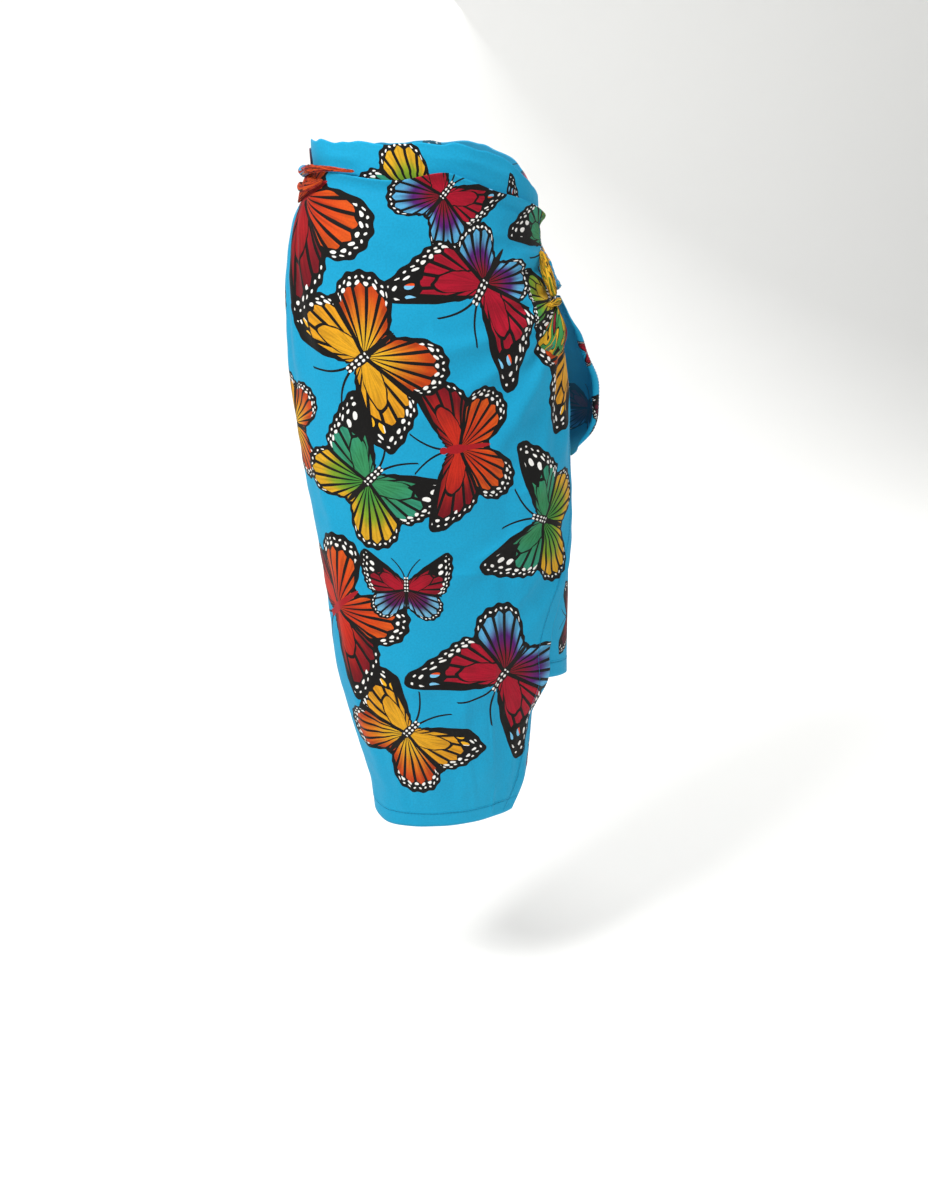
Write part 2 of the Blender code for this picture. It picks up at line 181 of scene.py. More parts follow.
innerStretch = {
    "start": -120,
    "top": [
        (-120, 0.028), (-102, 0.036), (-80, 0.040), (-50, 0.041), (-20, 0.040), (5, 0.038), (22, 0.028), (32, 0.018),
        (42, 0.006), (54, -0.011), (68, -0.028), (82, -0.032), (96, -0.017), (112, 0.005), (130, 0.019),
        (160, 0.023), (200, 0.021), (250, 0.026),
    ],
    "hem": [(-120, -0.786), (0, -0.788), (60, -0.779), (100, -0.772), (160, -0.782), (215, -0.793), (250, -0.792)],
    "folds": [
        (120, -0.060, 128, -0.560, 0.010, 0.026, 0.0050),
        (146, -0.050, 150, -0.420, 0.010, 0.022, 0.0040),
        (168, -0.200, 176, -0.700, 0.016, 0.028, 0.0050),
        (206, -0.060, 202, -0.500, 0.010, 0.024, 0.0045),
        (226, -0.240, 228, -0.770, 0.014, 0.024, 0.0045),
    ],
    "creases": [
        (132, -0.070, 136, -0.220, 0.004, 0.009, 0.0016),
        (140, -0.055, 144, -0.190, 0.003, 0.007, 0.0013),
        (157, -0.045, 160, -0.260, 0.004, 0.010, 0.0018),
        (166, -0.040, 166, -0.150, 0.003, 0.006, 0.0012),
        (177, -0.040, 182, -0.240, 0.004, 0.009, 0.0016),
        (188, -0.036, 190, -0.160, 0.003, 0.007, 0.0013),
        (197, -0.034, 196, -0.280, 0.004, 0.010, 0.0017),
        (214, -0.030, 212, -0.200, 0.003, 0.008, 0.0014),
        (222, -0.026, 224, -0.150, 0.003, 0.006, 0.0012),
        (231, -0.022, 235, -0.260, 0.004, 0.009, 0.0016),
        (239, -0.018, 243, -0.180, 0.003, 0.006, 0.0013),
        (150, -0.520, 158, -0.770, 0.008, 0.014, 0.0018),
        (188, -0.430, 192, -0.780, 0.009, 0.016, 0.0020),
        (208, -0.560, 214, -0.780, 0.007, 0.013, 0.0016),
        (126, -0.600, 118, -0.770, 0.008, 0.013, 0.0018),
        (160, -0.410, 208, -0.400, 0.003, 0.003, 0.0005),
        (150, -0.600, 214, -0.590, 0.003, 0.003, 0.0005),
        (-18, 0.030, 18, 0.016, 0.003, 0.004, 0.0007),
        (-70, 0.026, -44, 0.022, 0.003, 0.004, 0.0007),
        (6, 0.024, 44, -0.010, 0.004, 0.005, 0.0009),
    ],
    # starts and widths of ramps, in degrees round the body or metres down it; waves: size, seed, rise
    "seamCalm": 14,
    "meetsOuter": (215, 30),
    "tuck": (28, 18, 0.0012),
    "foldsBelow": (0.045, 0.05),
    "wavesFrom": (118, 14),
    "waves": (0.05, 3, 0.0006),
    "ruffleDepth": 0.016,
    "ruffleSway": 0.0011,
    "ruffleRise": 0.0012,
    "ruffleSmallRise": 0.0006,
}

outerStretch = {
    "top": [
        (-110, 0.000), (-85, 0.004), (-60, 0.008), (-26, 0.002), (-3, 0.009), (10, -0.002), (22, -0.014),
        (40, -0.027), (60, -0.044), (78, -0.058),
    ],
    "hem": [(-110, -0.799), (-75, -0.809), (-45, -0.808), (-10, -0.806), (20, -0.805), (50, -0.802), (78, -0.790)],
    "freeEdge": [
        (0.00, 76), (0.06, 73), (0.12, 66), (0.20, 74), (0.33, 77), (0.46, 76), (0.52, 72), (0.58, 61),
        (0.64, 52), (0.71, 47), (0.78, 50), (0.86, 55), (0.91, 51), (0.96, 47), (1.00, 42),
    ],
    "folds": [
        (-102, -0.028, -108, -0.300, 0.006, 0.020, 0.0050),
        (-97, -0.028, -95, -0.320, 0.006, 0.016, 0.0050),
        (-92, -0.026, -80, -0.260, 0.006, 0.018, 0.0045),
        (-88, -0.022, -60, -0.190, 0.006, 0.022, 0.0040),
        (-84, -0.018, -38, -0.090, 0.006, 0.018, 0.0028),
        (53, -0.154, 20, -0.174, 0.006, 0.020, 0.0040),
        (53, -0.160, 34, -0.270, 0.006, 0.022, 0.0060),
        (55, -0.162, 54, -0.360, 0.007, 0.018, 0.0045),
        (58, -0.160, 68, -0.300, 0.006, 0.014, 0.0040),
        (70, -0.086, 24, -0.094, 0.007, 0.016, 0.0030),
        (66, -0.290, 24, -0.380, 0.012, 0.026, 0.0028),
        (54, -0.400, 4, -0.540, 0.014, 0.034, 0.0030),
        (12, -0.470, 10, -0.790, 0.014, 0.022, 0.0036),
        (-30, -0.560, -22, -0.790, 0.014, 0.024, 0.0036),
        (40, -0.600, 44, -0.790, 0.012, 0.018, 0.0050),
        (-72, -0.420, -64, -0.790, 0.016, 0.024, 0.0040),
    ],
    "creases": [
        (50, -0.158, -40, -0.206, 0.006, 0.015, 0.0034),
        (51, -0.162, -26, -0.278, 0.006, 0.016, 0.0042),
        (52, -0.166, 0, -0.352, 0.006, 0.016, 0.0046),
        (53, -0.170, 28, -0.410, 0.006, 0.015, 0.0042),
        (68, -0.098, 12, -0.102, 0.005, 0.011, 0.0030),
        (68, -0.113, 34, -0.112, 0.004, 0.008, -0.0030),
        (60, -0.134, 20, -0.150, 0.004, 0.009, -0.0026),
        (58, -0.076, -6, -0.052, 0.004, 0.010, 0.0016),
        (-105, -0.026, -106, -0.120, 0.003, 0.006, 0.0014),
        (-99, -0.026, -101, -0.160, 0.003, 0.007, 0.0016),
        (-94, -0.026, -90, -0.140, 0.003, 0.007, 0.0015),
        (-90, -0.024, -74, -0.120, 0.003, 0.007, 0.0014),
        (-86, -0.020, -54, -0.090, 0.003, 0.007, 0.0012),
        (-82, -0.014, -50, -0.030, 0.003, 0.006, 0.0010),
        (50, -0.158, 26, -0.210, 0.003, 0.008, 0.0016),
        (52, -0.162, 40, -0.250, 0.003, 0.008, 0.0016),
        (56, -0.160, 60, -0.270, 0.003, 0.007, 0.0014),
        (54, -0.148, 14, -0.136, 0.004, 0.009, 0.0034),
        (62, -0.118, 38, -0.120, 0.003, 0.007, 0.0022),
        (64, -0.098, 34, -0.084, 0.003, 0.007, 0.0020),
        (54, -0.154, 24, -0.162, 0.003, 0.008, 0.0030),
        (4, -0.440, 40, -0.400, 0.003, 0.004, 0.0015),
        (20, -0.372, 50, -0.336, 0.003, 0.004, 0.0014),
        (-6, -0.350, 28, -0.310, 0.005, 0.008, 0.0012),
        (20, -0.520, 52, -0.430, 0.005, 0.009, 0.0014),
        (-24, -0.455, 12, -0.462, 0.003, 0.003, 0.0014),
        (-52, -0.612, -4, -0.606, 0.003, 0.003, 0.0014),
        (14, -0.560, 16, -0.740, 0.003, 0.003, 0.0014),
        (-34, -0.120, -30, -0.190, 0.003, 0.004, 0.0012),
        (26, -0.690, 52, -0.660, 0.003, 0.004, 0.0013),
        (24, -0.470, 44, -0.560, 0.004, 0.007, 0.0011),
        (-2, -0.700, 4, -0.790, 0.004, 0.007, 0.0014),
        (17, -0.760, 19, -0.800, 0.003, 0.004, 0.0016),
        (-44, -0.660, -38, -0.790, 0.006, 0.010, 0.0014),
        (-12, -0.150, -6, -0.240, 0.004, 0.006, 0.0007),
        (-52, -0.520, -60, -0.640, 0.005, 0.009, 0.0011),
        (46, -0.380, -36, -0.520, 0.010, 0.018, 0.0026),
        (58, -0.480, -20, -0.680, 0.010, 0.020, 0.0026),
        (-80, -0.300, -52, -0.560, 0.010, 0.018, 0.0026),
        (-70, -0.160, -34, -0.300, 0.008, 0.016, 0.0022),
        (36, -0.560, 30, -0.800, 0.008, 0.012, 0.0028),
        (0, -0.560, -6, -0.800, 0.008, 0.014, 0.0026),
        (-54, -0.600, -50, -0.800, 0.008, 0.014, 0.0026),
    ],
    "rolledRise": 0.0046,
    "rolledWidth": 0.0048,
    "underCrease": (0.0125, 0.0040, 0.0015),
    "rolledFrom": (-85, 40),
    "overTailFrom": (16, 10),
    "overTailBelow": (0.100, 0.030),
    "overTailStep": 1.2,
    "hangEnds": (0.600, 0.080),
    "edgeLift": 0.0018,
    "edgeLiftDegrees": 16,
    "seamCalm": 9,
    "waves": (0.045, 5, 0.0011),
    "wavesBelow": 0.03,
}

tail = {
    "start": 28,
    "end": 119,
    "top": [(28, -0.135), (60, -0.165), (78, -0.200), (95, -0.245), (108, -0.290), (119, -0.325)],
    "hem": [(28, -0.608), (60, -0.624), (85, -0.632), (105, -0.624), (119, -0.610)],
    "folds": [
        (66, -0.240, 68, -0.610, 0.008, 0.014, 0.0040),
        (92, -0.240, 90, -0.610, 0.010, 0.016, 0.0060),
        (110, -0.240, 112, -0.600, 0.010, 0.016, 0.0045),
    ],
    "creases": [
        (84, -0.260, 82, -0.500, 0.004, 0.007, 0.0012),
        (101, -0.280, 100, -0.560, 0.004, 0.007, 0.0014),
        (96, -0.450, 97, -0.610, 0.004, 0.006, 0.0012),
        (80, -0.520, 106, -0.515, 0.003, 0.003, 0.0005),
    ],
    "foldsFrom": (80, 12),
    "creasesFrom": (78, 8),
    "hangTop": -0.290,
    "hangShare": 0.95,
    "hangFrom": (15, 60),
}

# The loop of loose cloth below the knot: height, root angle, lip angle, bulge
loop = {
    "rows": [
        (-0.152, 80, 76, 0.0060),
        (-0.165, 87, 78, 0.0110),
        (-0.180, 94, 80, 0.0180),
        (-0.210, 106, 82, 0.0340),
        (-0.258, 118, 83, 0.0490),
        (-0.295, 122, 83, 0.0500),
        (-0.325, 123, 81, 0.0400),
        (-0.340, 123, 80, 0.0260),
        (-0.352, 123, 79, 0.0050),
    ],
    "step": 0.0017,
    "full": 0.62,
    "droop": 0.10,
    "curlShare": 0.16,
    "curl": 0.0034,
    "curlFrom": (0.010, 0.024),
    "ripple": 0.0012,
    "ripplePaces": (21, 3),
    "rippleFrom": (0.01, 0.02),
}


def sideHang(angle, height):
    narrowing = readTable(body["sections"], tail["hangTop"], 1) - readTable(body["sections"], height, 1)
    below = height < tail["hangTop"]
    return tail["hangShare"] * np.maximum(narrowing, 0) * rampUp(angle, *tail["hangFrom"]) * below


def innerOffset(angle, height):
    meetsOuter = body["layerStep"] * rampUp(angle, *innerStretch["meetsOuter"])
    tuckRun, tuckWidth, tuckDepth = innerStretch["tuck"]
    tucked = tuckDepth * ease((innerStretch["start"] + tuckRun - angle) / tuckWidth)
    rise = ease((body["seam"] - angle) / innerStretch["seamCalm"]) * rampUp(-height, *innerStretch["foldsBelow"])
    return meetsOuter - tucked + rise * foldRise(innerStretch["folds"], angle, height)


def innerSurface(u, v):
    angle = innerStretch["start"] + u * (body["seam"] - innerStretch["start"])
    height = heightBetween(innerStretch["top"], innerStretch["hem"], angle, v)
    calm = ease((body["seam"] - angle) / innerStretch["seamCalm"])
    pastTail = rampUp(angle, *innerStretch["wavesFrom"])
    size, seed, rise = innerStretch["waves"]
    outward = innerOffset(angle, height)
    outward += calm * foldRise(innerStretch["creases"], angle, height)
    outward += calm * pastTail * rise * softWaves(angle, height, size, seed)
    # the loose top edge ripples and stands up unevenly
    fromTop = readTable(innerStretch["top"], angle, 1) - height
    ripple = np.exp(-((fromTop / innerStretch["ruffleDepth"]) ** 2)) * calm
    sway = np.sin(np.radians(angle * 9.5)) * np.sin(np.radians(angle * 2.3 + 40))
    outward += innerStretch["ruffleSway"] * ripple * sway
    ruffle = np.sin(np.radians(angle * 13.7 + 50 * np.sin(np.radians(angle * 4.1))))
    small = np.sin(np.radians(angle * 23 + 60 * ruffle))
    height = height + (innerStretch["ruffleRise"] * ruffle + innerStretch["ruffleSmallRise"] * small) * ripple
    return angle, height, outward


def outerOffset(angle, height, share):
    start = body["seam"] - 360
    end = readTable(outerStretch["freeEdge"], share, 1)
    fromTop = readTable(outerStretch["top"], angle, 1) - height
    rolled = outerStretch["rolledRise"] * np.exp(-((fromTop / outerStretch["rolledWidth"]) ** 2))
    creaseFar, creaseWide, creaseDeep = outerStretch["underCrease"]
    rolled -= creaseDeep * np.exp(-(((fromTop - creaseFar) / creaseWide) ** 2))
    rolled = rolled * rampUp(angle, *outerStretch["rolledFrom"])
    aboveEnd = 1 - rampUp(-height, *outerStretch["hangEnds"])
    overTail = rampUp(angle, *outerStretch["overTailFrom"]) * rampUp(-height, *outerStretch["overTailBelow"]) * aboveEnd
    lift = outerStretch["edgeLift"] * ease((angle - end) / outerStretch["edgeLiftDegrees"] + 1)
    calm = ease((angle - start) / outerStretch["seamCalm"])
    size, seed, rise = outerStretch["waves"]
    outward = body["layerStep"] * (1 + outerStretch["overTailStep"] * overTail) + sideHang(angle, height) * aboveEnd
    outward += rolled + lift + calm * foldRise(outerStretch["folds"], angle, height)
    outward += calm * foldRise(outerStretch["creases"], angle, height)
    waves = softWaves(angle, height, size, seed)
    return outward + calm * rise * waves * ease(fromTop / outerStretch["wavesBelow"])


def outerSurface(u, v):
    start = body["seam"] - 360
    angle = start + u * (readTable(outerStretch["freeEdge"], v, 1) - start)
    height = heightBetween(outerStretch["top"], outerStretch["hem"], angle, v)
    return angle, height, outerOffset(angle, height, v)


def tailOffset(angle, height):
    rise = rampUp(angle, *tail["foldsFrom"]) * foldRise(tail["folds"], angle, height)
    return innerOffset(angle, height) + body["layerStep"] + sideHang(angle, height) + rise


def tailSurface(u, v):
    angle = tail["start"] + u * (tail["end"] - tail["start"])
    height = heightBetween(tail["top"], tail["hem"], angle, v)
    rise = rampUp(angle, *tail["creasesFrom"]) * foldRise(tail["creases"], angle, height)
    return angle, height, tailOffset(angle, height) + rise


def loopSurface(u, v):
    rows = loop["rows"]
    height = rows[0][0] + v * (rows[-1][0] - rows[0][0])
    root, lip, bulge = (readTable(rows, height, c) for c in (1, 2, 3))
    u = 1 - u
    angle = root + u * (lip - root)
    swing = ease(u / loop["full"]) - loop["droop"] * ease((u - loop["full"]) / (1 - loop["full"]))
    down, out = loop["ripplePaces"]
    ripple = loop["ripple"] * np.sin(v * down + out * u) * ease(u / 0.3) * rampUp(bulge, *loop["rippleFrom"])
    # the rim curls back over itself, so that it shows a light rounded edge
    curl = math.pi * np.clip((u - 1 + loop["curlShare"]) / loop["curlShare"], 0, 1)
    loose = rampUp(bulge, *loop["curlFrom"])
    flatLip = root + np.minimum(u, 1 - loop["curlShare"]) * (lip - root)
    angle = angle + loose * (flatLip - loop["curl"] / perDegree * np.sin(curl) - angle)
    outward = tailOffset(angle, height) + loop["step"] + swing * bulge + ripple
    return angle, height, outward - loose * loop["curl"] * (1 - np.cos(curl))


# A stretch of cloth: a grid laid on its surface. Its UV map is the flat cloth, in metres. The outer stretch is
# measured from a meridian, and the inner one from the seam where they meet, so that the print runs on
def clothLengths(points, angles, heights, meridian, seamAt):
    steps = np.linalg.norm(np.diff(points, axis=1), axis=-1)
    run = np.concatenate([np.zeros((len(points), 1)), np.cumsum(steps, axis=1)], axis=1)
    if seamAt is not None:
        return run - run[:, -1:] + np.interp(-heights[:, -1:], -seamAt[:, 1], seamAt[:, 0])
    zero = np.array([np.interp(meridian, row, length) for row, length in zip(angles, run)])
    return run - zero[:, None]


def makeStretch(name, surface, columns, rows, crowding=1, meridian=0, seamAt=None, hems=("foot",)):
    grid = bmesh.new()
    bmesh.ops.create_grid(grid, x_segments=columns, y_segments=rows, size=0.5)
    mesh = toMesh(name, grid)
    flat = np.empty(len(mesh.vertices) * 3)
    mesh.vertices.foreach_get("co", flat)
    flat = flat.reshape(-1, 3)
    column = np.rint((flat[:, 0] + 0.5) * columns).astype(int)
    row = np.rint((0.5 - flat[:, 1]) * rows).astype(int)
    u, v = np.meshgrid(np.arange(columns + 1) / columns, (np.arange(rows + 1) / rows) ** crowding)
    angles, heights, outward = surface(u, v)
    points = bodyPoint(angles, heights, outward)
    mesh.vertices.foreach_set("co", points[row, column].ravel())
    lengths = clothLengths(points, angles, heights, meridian, seamAt)
    cloth = np.stack([lengths, heights], axis=-1)[row, column]
    loops = np.empty(len(mesh.loops), int)
    mesh.loops.foreach_get("vertex_index", loops)
    mesh.uv_layers.new(name="cloth").data.foreach_set("uv", cloth[loops].ravel())
    # how far each point lies from the nearest hemmed edge
    fromHem = {
        "foot": heights - heights[-1:],
        "start": lengths - lengths[:, :1],
        "end": lengths[:, -1:] - lengths,
    }
    nearest = np.minimum.reduce([fromHem[edge] for edge in hems])
    mesh.attributes.new("fromHem", "FLOAT", "POINT").data.foreach_set("value", nearest[row, column])
    mesh.update()
    return addObject(name, mesh), points, np.stack([lengths, heights], axis=-1)


outerCloth, outerPoints, outerFlat = makeStretch(
    "outerCloth", outerSurface, columns=210, rows=220, crowding=1.1, meridian=-20, hems=("foot", "end"))
innerCloth, innerPoints, innerFlat = makeStretch(
    "innerCloth", innerSurface, columns=300, rows=150, crowding=1.2, seamAt=outerFlat[:, 0])
tailCloth, tailPoints, tailFlat = makeStretch(
    "tailCloth", tailSurface, columns=84, rows=110, meridian=80, hems=("foot", "start", "end"))
loopCloth, loopPoints, loopFlat = makeStretch(
    "loopCloth", loopSurface, columns=80, rows=90, meridian=83, hems=("start",))
print("the four stretches of cloth are laid")

# The print: the kinds of butterfly, and two plain outlines of a right wing in parts of the half span
wings = {
    "order": ["amber", "ember", "leaf", "wine", "plum", "garnet", "lime", "flame", "folded"],
    "long": [
        (0.00, -0.34), (0.05, -0.38), (0.10, -0.46), (0.17, -0.55), (0.26, -0.63), (0.36, -0.67), (0.48, -0.65),
        (0.59, -0.57), (0.655, -0.45), (0.66, -0.33), (0.62, -0.235), (0.585, -0.165), (0.66, -0.12), (0.74, -0.03),
        (0.81, 0.08), (0.875, 0.20), (0.93, 0.32), (0.94, 0.40), (0.90, 0.455), (0.80, 0.46), (0.68, 0.43),
        (0.54, 0.385), (0.40, 0.335), (0.27, 0.275), (0.15, 0.215), (0.06, 0.17), (0.00, 0.15),
    ],
    "swept": [
        (0.00, -0.35), (0.08, -0.39), (0.15, -0.45), (0.24, -0.52), (0.35, -0.57), (0.47, -0.57), (0.58, -0.50),
        (0.65, -0.38), (0.655, -0.25), (0.605, -0.15), (0.56, -0.10), (0.62, -0.045), (0.67, 0.06), (0.705, 0.20),
        (0.74, 0.34), (0.775, 0.48), (0.805, 0.61), (0.79, 0.69), (0.73, 0.71), (0.62, 0.655), (0.48, 0.56),
        (0.32, 0.44), (0.17, 0.31), (0.05, 0.19), (0.00, 0.15),
    ],
    "black": "#0a0807",
    "white": "#f3f1ec",
    "reach": 1.1,
    "printMargin": 0.012,
    "feelerMiddle": 0.35,
    "feelerRoom": 0.30,
}

# The values of each kind, in the order above
kinds = {
    "isSwept": [0.5, 0.0, 0.9, 1.0, 0.85, 0.5, 0.45, 0.0, 1.0],
    "tipDepth": [0.17, 0.06, 0.38, 0.19, 0.34, 0.12, 0.08, 0.06, 0.19],
    "hindShare": [1.0, 1.0, 1.0, 1.0, 0.92, 1.0, 1.0, 1.0, 0.74],
    "foreRoot": ["#eaa91c", "#ce2a14", "#35915c", "#ae0628", "#ae0a26", "#800a20", "#d0a51e", "#aa161e", "#ae0628"],
    "foreTip": ["#e69c18", "#840516", "#319374", "#b40a2a", "#8e0720", "#560a28", "#709c2c", "#760818", "#b40a2a"],
    "hindRoot": ["#ecb422", "#c8300e", "#439238", "#8a0a22", "#620c28", "#720c20", "#caa620", "#c8300e", "#8a0a22"],
    "hindMiddle": ["#de7412", "#dc480c", "#86a622", "#571a78", "#561a60", "#461a60", "#689a28", "#d8480c", "#571a78"],
    "hindTip": ["#c84408", "#de560e", "#e4ac20", "#5aaedb", "#74b8dc", "#4a9cd0", "#3f8a40", "#dc540e", "#5aaedb"],
    "body": ["#15110f", "#a5121c", "#15110f", "#15110f", "#15110f", "#2a0f12", "#15110f", "#8e0a14", "#15110f"],
    "breast": [1.0, 0.0, 1.0, 1.0, 1.0, 0.0, 1.0, 0.0, 1.0],
    "foreEdge": [0.82, 0.87, 0.84, 0.81, 0.83, 0.82, 0.84, 0.87, 0.81],
    "hindEdge": [0.83, 0.79, 0.88, 0.865, 0.87, 0.865, 0.83, 0.80, 0.865],
    "highSpot": ["#f4b41c", "#8c0518", "#f3f1ec", "#7cc4ea", "#f3f1ec", "#8e0a24", "#e0b21c", "#8c0518", "#7cc4ea"],
    "lowSpot": ["#f3f1ec", "#0a0807", "#f3f1ec", "#e44c0c", "#f3f1ec", "#0a0807", "#0a0807", "#0a0807", "#e44c0c"],
}

# Each butterfly: along the cloth, height, heading in degrees, half its span, colours
wrapPrint = [
    (-0.143, -0.022, 203, 0.136, "flame"),
    (-0.055, -0.194, 218, 0.124, "amber"),
    (0.096, -0.116, 232, 0.124, "folded"),
    (0.040, -0.016, 50, 0.084, "wine"),
    (0.047, -0.303, 184, 0.104, "ember"),
    (-0.063, -0.341, 44, 0.110, "leaf"),
    (-0.026, -0.475, 88, 0.073, "plum"),
    (0.099, -0.596, 228, 0.126, "wine"),
    (-0.121, -0.509, 218, 0.120, "ember"),
    (-0.035, -0.669, 48, 0.110, "amber"),
    (0.162, -0.407, 157, 0.110, "leaf"),
    (-0.184, -0.290, 176, 0.090, "amber"),
    (0.262, -0.207, 297, 0.130, "amber"),
    (0.224, -0.079, 219, 0.098, "leaf"),
    (0.206, -0.146, 78, 0.066, "lime"),
    (-0.206, -0.640, 150, 0.080, "wine"),
    (-0.777, -0.029, 229, 0.097, "leaf"),
    (-0.668, -0.062, 118, 0.066, "wine"),
    (-0.255, -0.135, 120, 0.100, "leaf"),
    (-0.366, -0.058, 24, 0.088, "ember"),
    (-0.462, -0.172, 235, 0.112, "amber"),
    (-0.590, -0.130, 75, 0.108, "wine"),
    (-0.512, -0.004, 20, 0.082, "ember"),
    (-0.318, -0.245, 300, 0.104, "wine"),
    (-0.418, -0.300, 160, 0.068, "plum"),
    (-0.535, -0.330, 40, 0.108, "leaf"),
    (-0.672, -0.290, 200, 0.114, "ember"),
    (-0.270, -0.425, 64, 0.106, "amber"),
    (-0.395, -0.440, 228, 0.116, "ember"),
    (-0.520, -0.505, 98, 0.070, "garnet"),
    (-0.640, -0.480, 330, 0.114, "amber"),
    (-0.330, -0.590, 142, 0.106, "leaf"),
    (-0.450, -0.645, 35, 0.112, "wine"),
    (-0.585, -0.665, 204, 0.106, "lime"),
    (-0.250, -0.745, 96, 0.078, "plum"),
    (-0.370, -0.755, 250, 0.090, "ember"),
    (-0.700, -0.660, 82, 0.094, "wine"),
]
tailPrint = [
    (-0.022, -0.552, 172, 0.056, "garnet"),
    (0.078, -0.470, 62, 0.100, "amber"),
    (0.010, -0.380, 205, 0.080, "leaf"),
    (0.106, -0.590, 130, 0.070, "wine"),
]
loopPrint = [
    (0.040, -0.306, 96, 0.052, "garnet"),
    (0.012, -0.228, 186, 0.022, "wine"),
]


def polarOutline(form):
    # the half turn from the tail round to the head as 0 to 1, and how far out the wing reaches there
    points = np.array(wings[form])
    return np.arctan2(points[:, 1], points[:, 0]) / math.pi + 0.5, np.hypot(points[:, 0], points[:, 1])


def layPrint(piece, butterflies):
    # every face keeps its place on up to three butterflies: across, towards the head, and which colours
    mesh = piece.data
    cloth = np.empty(len(mesh.loops) * 2)
    mesh.uv_layers["cloth"].data.foreach_get("uv", cloth)
    cloth = cloth.reshape(-1, 4, 2)
    middles = cloth.mean(axis=1)
    places = np.full((3, len(middles), 4, 3), (9.0, 9.0, -1.0))
    used = np.zeros(len(middles), int)
    feelerRoom = wings["feelerRoom"]
    for along, height, heading, half, colours in butterflies:
        kind = wings["order"].index(colours)
        turn = math.radians(heading)
        axes = np.array([[math.sin(turn), -math.cos(turn)], [math.cos(turn), math.sin(turn)]]) / half
        local = (cloth - (along, height)) @ axes.T
        x, y = ((middles - (along, height)) @ axes.T).T
        place = np.arctan2(y, np.abs(x)) / math.pi + 0.5
        edges = [np.interp(place, *polarOutline(form)) for form in ("long", "swept")]
        margin = wings["printMargin"] / half
        isWing = np.hypot(x, y) < np.maximum(*edges) + margin
        covered = isWing | ((np.abs(x) < feelerRoom) & (np.abs(y - wings["feelerMiddle"]) < feelerRoom))
        for layer in range(3):
            here = covered & (used == layer)
            places[layer, here, :, :2] = local[here]
            places[layer, here, :, 2] = kind
        used += covered
    for layer in range(3):
        kept = mesh.attributes.new(f"butterfly{layer}", "FLOAT_VECTOR", "CORNER")
        kept.data.foreach_set("vector", places[layer].ravel())


for piece, butterflies in (
    (outerCloth, wrapPrint), (innerCloth, wrapPrint), (tailCloth, tailPrint), (loopCloth, loopPrint),
):
    layPrint(piece, butterflies)
print("the print is laid out")


# Materials
def linear(colour):
    parts = [int(colour[i:i + 2], 16) / 255 for i in (1, 3, 5)]
    return (*(c / 12.92 if c <= 0.04045 else ((c + 0.055) / 1.055) ** 2.4 for c in parts), 1)


def addNode(tree, kind, settings=None, *feeds, **named):
    # one node with its settings, and what feeds its inputs: a value, a socket or another node. in6 is input 6
    node = tree.nodes.new("ShaderNode" + kind)
    if isinstance(settings, str):
        settings = {"operation": settings}
    for name, value in (settings or {}).items():
        setattr(node, name, value)
    for key, feed in [*enumerate(feeds), *named.items()]:
        if feed is None:
            continue
        if isinstance(key, str):
            key = int(key[2:]) if key.startswith("in") else key
        if isinstance(feed, bpy.types.Node):
            feed = feed.outputs[0]
        if isinstance(feed, bpy.types.NodeSocket):
            tree.links.new(feed, node.inputs[key])
        else:
            node.inputs[key].default_value = feed
    return node


def newMaterial(name):
    material = bpy.data.materials.new(name)
    material.use_nodes = True
    return material, material.node_tree.nodes["Principled BSDF"], partial(addNode, material.node_tree)


def setStops(ramp, stops):
    # a stop is a place and a colour, or a value alone, which gets its even share of the ramp
    ramp.color_ramp.interpolation = "CONSTANT"
    points = ramp.color_ramp.elements
    while len(points) < len(stops):
        points.new(0.5)
    for i, stop in enumerate(stops):
        place, colour = stop if isinstance(stop, tuple) else (i / len(stops), stop)
        points[i].position = place
        points[i].color = linear(colour) if isinstance(colour, str) else (colour, colour, colour, 1)
    return ramp


blend = {"data_type": "RGBA"}
smooth = {"interpolation_type": "SMOOTHSTEP"}
flatNoise = {"noise_dimensions": "2D"}

# How a butterfly is drawn: lengths in parts of its half span, places in parts of the half turn from tail to head
drawing = {
    "scallops": 19,
    "scallopDepth": 0.010,
    "parting": (0.413, 0.030),  # its place in the long outline, and how much later in the swept one; so the next two
    "tip": (0.630, 0.098),
    "cell": (0.580, 0.075),
    "cellReach": 0.44,
    "cellSwing": 0.13,
    "cellTurn": 18,
    "cellLine": 0.020,
    "partingLine": 0.0065,
    "streaks": 52,
    "streakLength": 3.2,
    "streakTones": (0.34, 0.60, 0.66, 0.97),
    "veins": 15,
    "firstVein": 0.30,
    "veinLine": 0.0165,
    "veinTaper": 0.036,
    "foreBlend": (0.25, 0.80),
    "hindBlend": (0.22, 0.58),
    "hindFarBlend": (0.52, 0.78),
    "marginStart": 0.03,
    "marginReach": 0.10,
    "tipSharpness": 13,
    "leadingLong": (0.943, -0.333, -0.141),
    "leadingSwept": (0.809, -0.588, -0.104),
    "leadingGrowth": 0.050,
    "leadingLine": 0.004,
    # spots: how many all round, how far out, half length, half depth, the least margin inside them
    "spots": ((36, 0.925, 0.0145, 0.0120, 0.01), (26, 0.858, 0.0235, 0.0190, 0.01), (22, 0.735, 0.029, 0.045, 0.06)),
    "spotsFrom": 0.135,
    "spotsPastTip": 0.022,
    "spotsOffParting": 0.026,
    "highSpots": 0.026,
    # body: the middle of each oval, half width, half length
    "body": ((-0.13, 0.030, 0.24), (0.04, 0.050, 0.13), (0.185, 0.040, 0.045)),
    # breast: dots along the body, how flat and how fine, how far aside, the lowest, their size
    "breast": (17, 9, 72, 0.020, -0.03, 0.8),
    # feeler: where it starts and how far aside, how far up it goes, its bend and slant, half its width
    "feeler": (0.20, 0.02, 0.34, 1.2, 0.22, 0.0125),
}


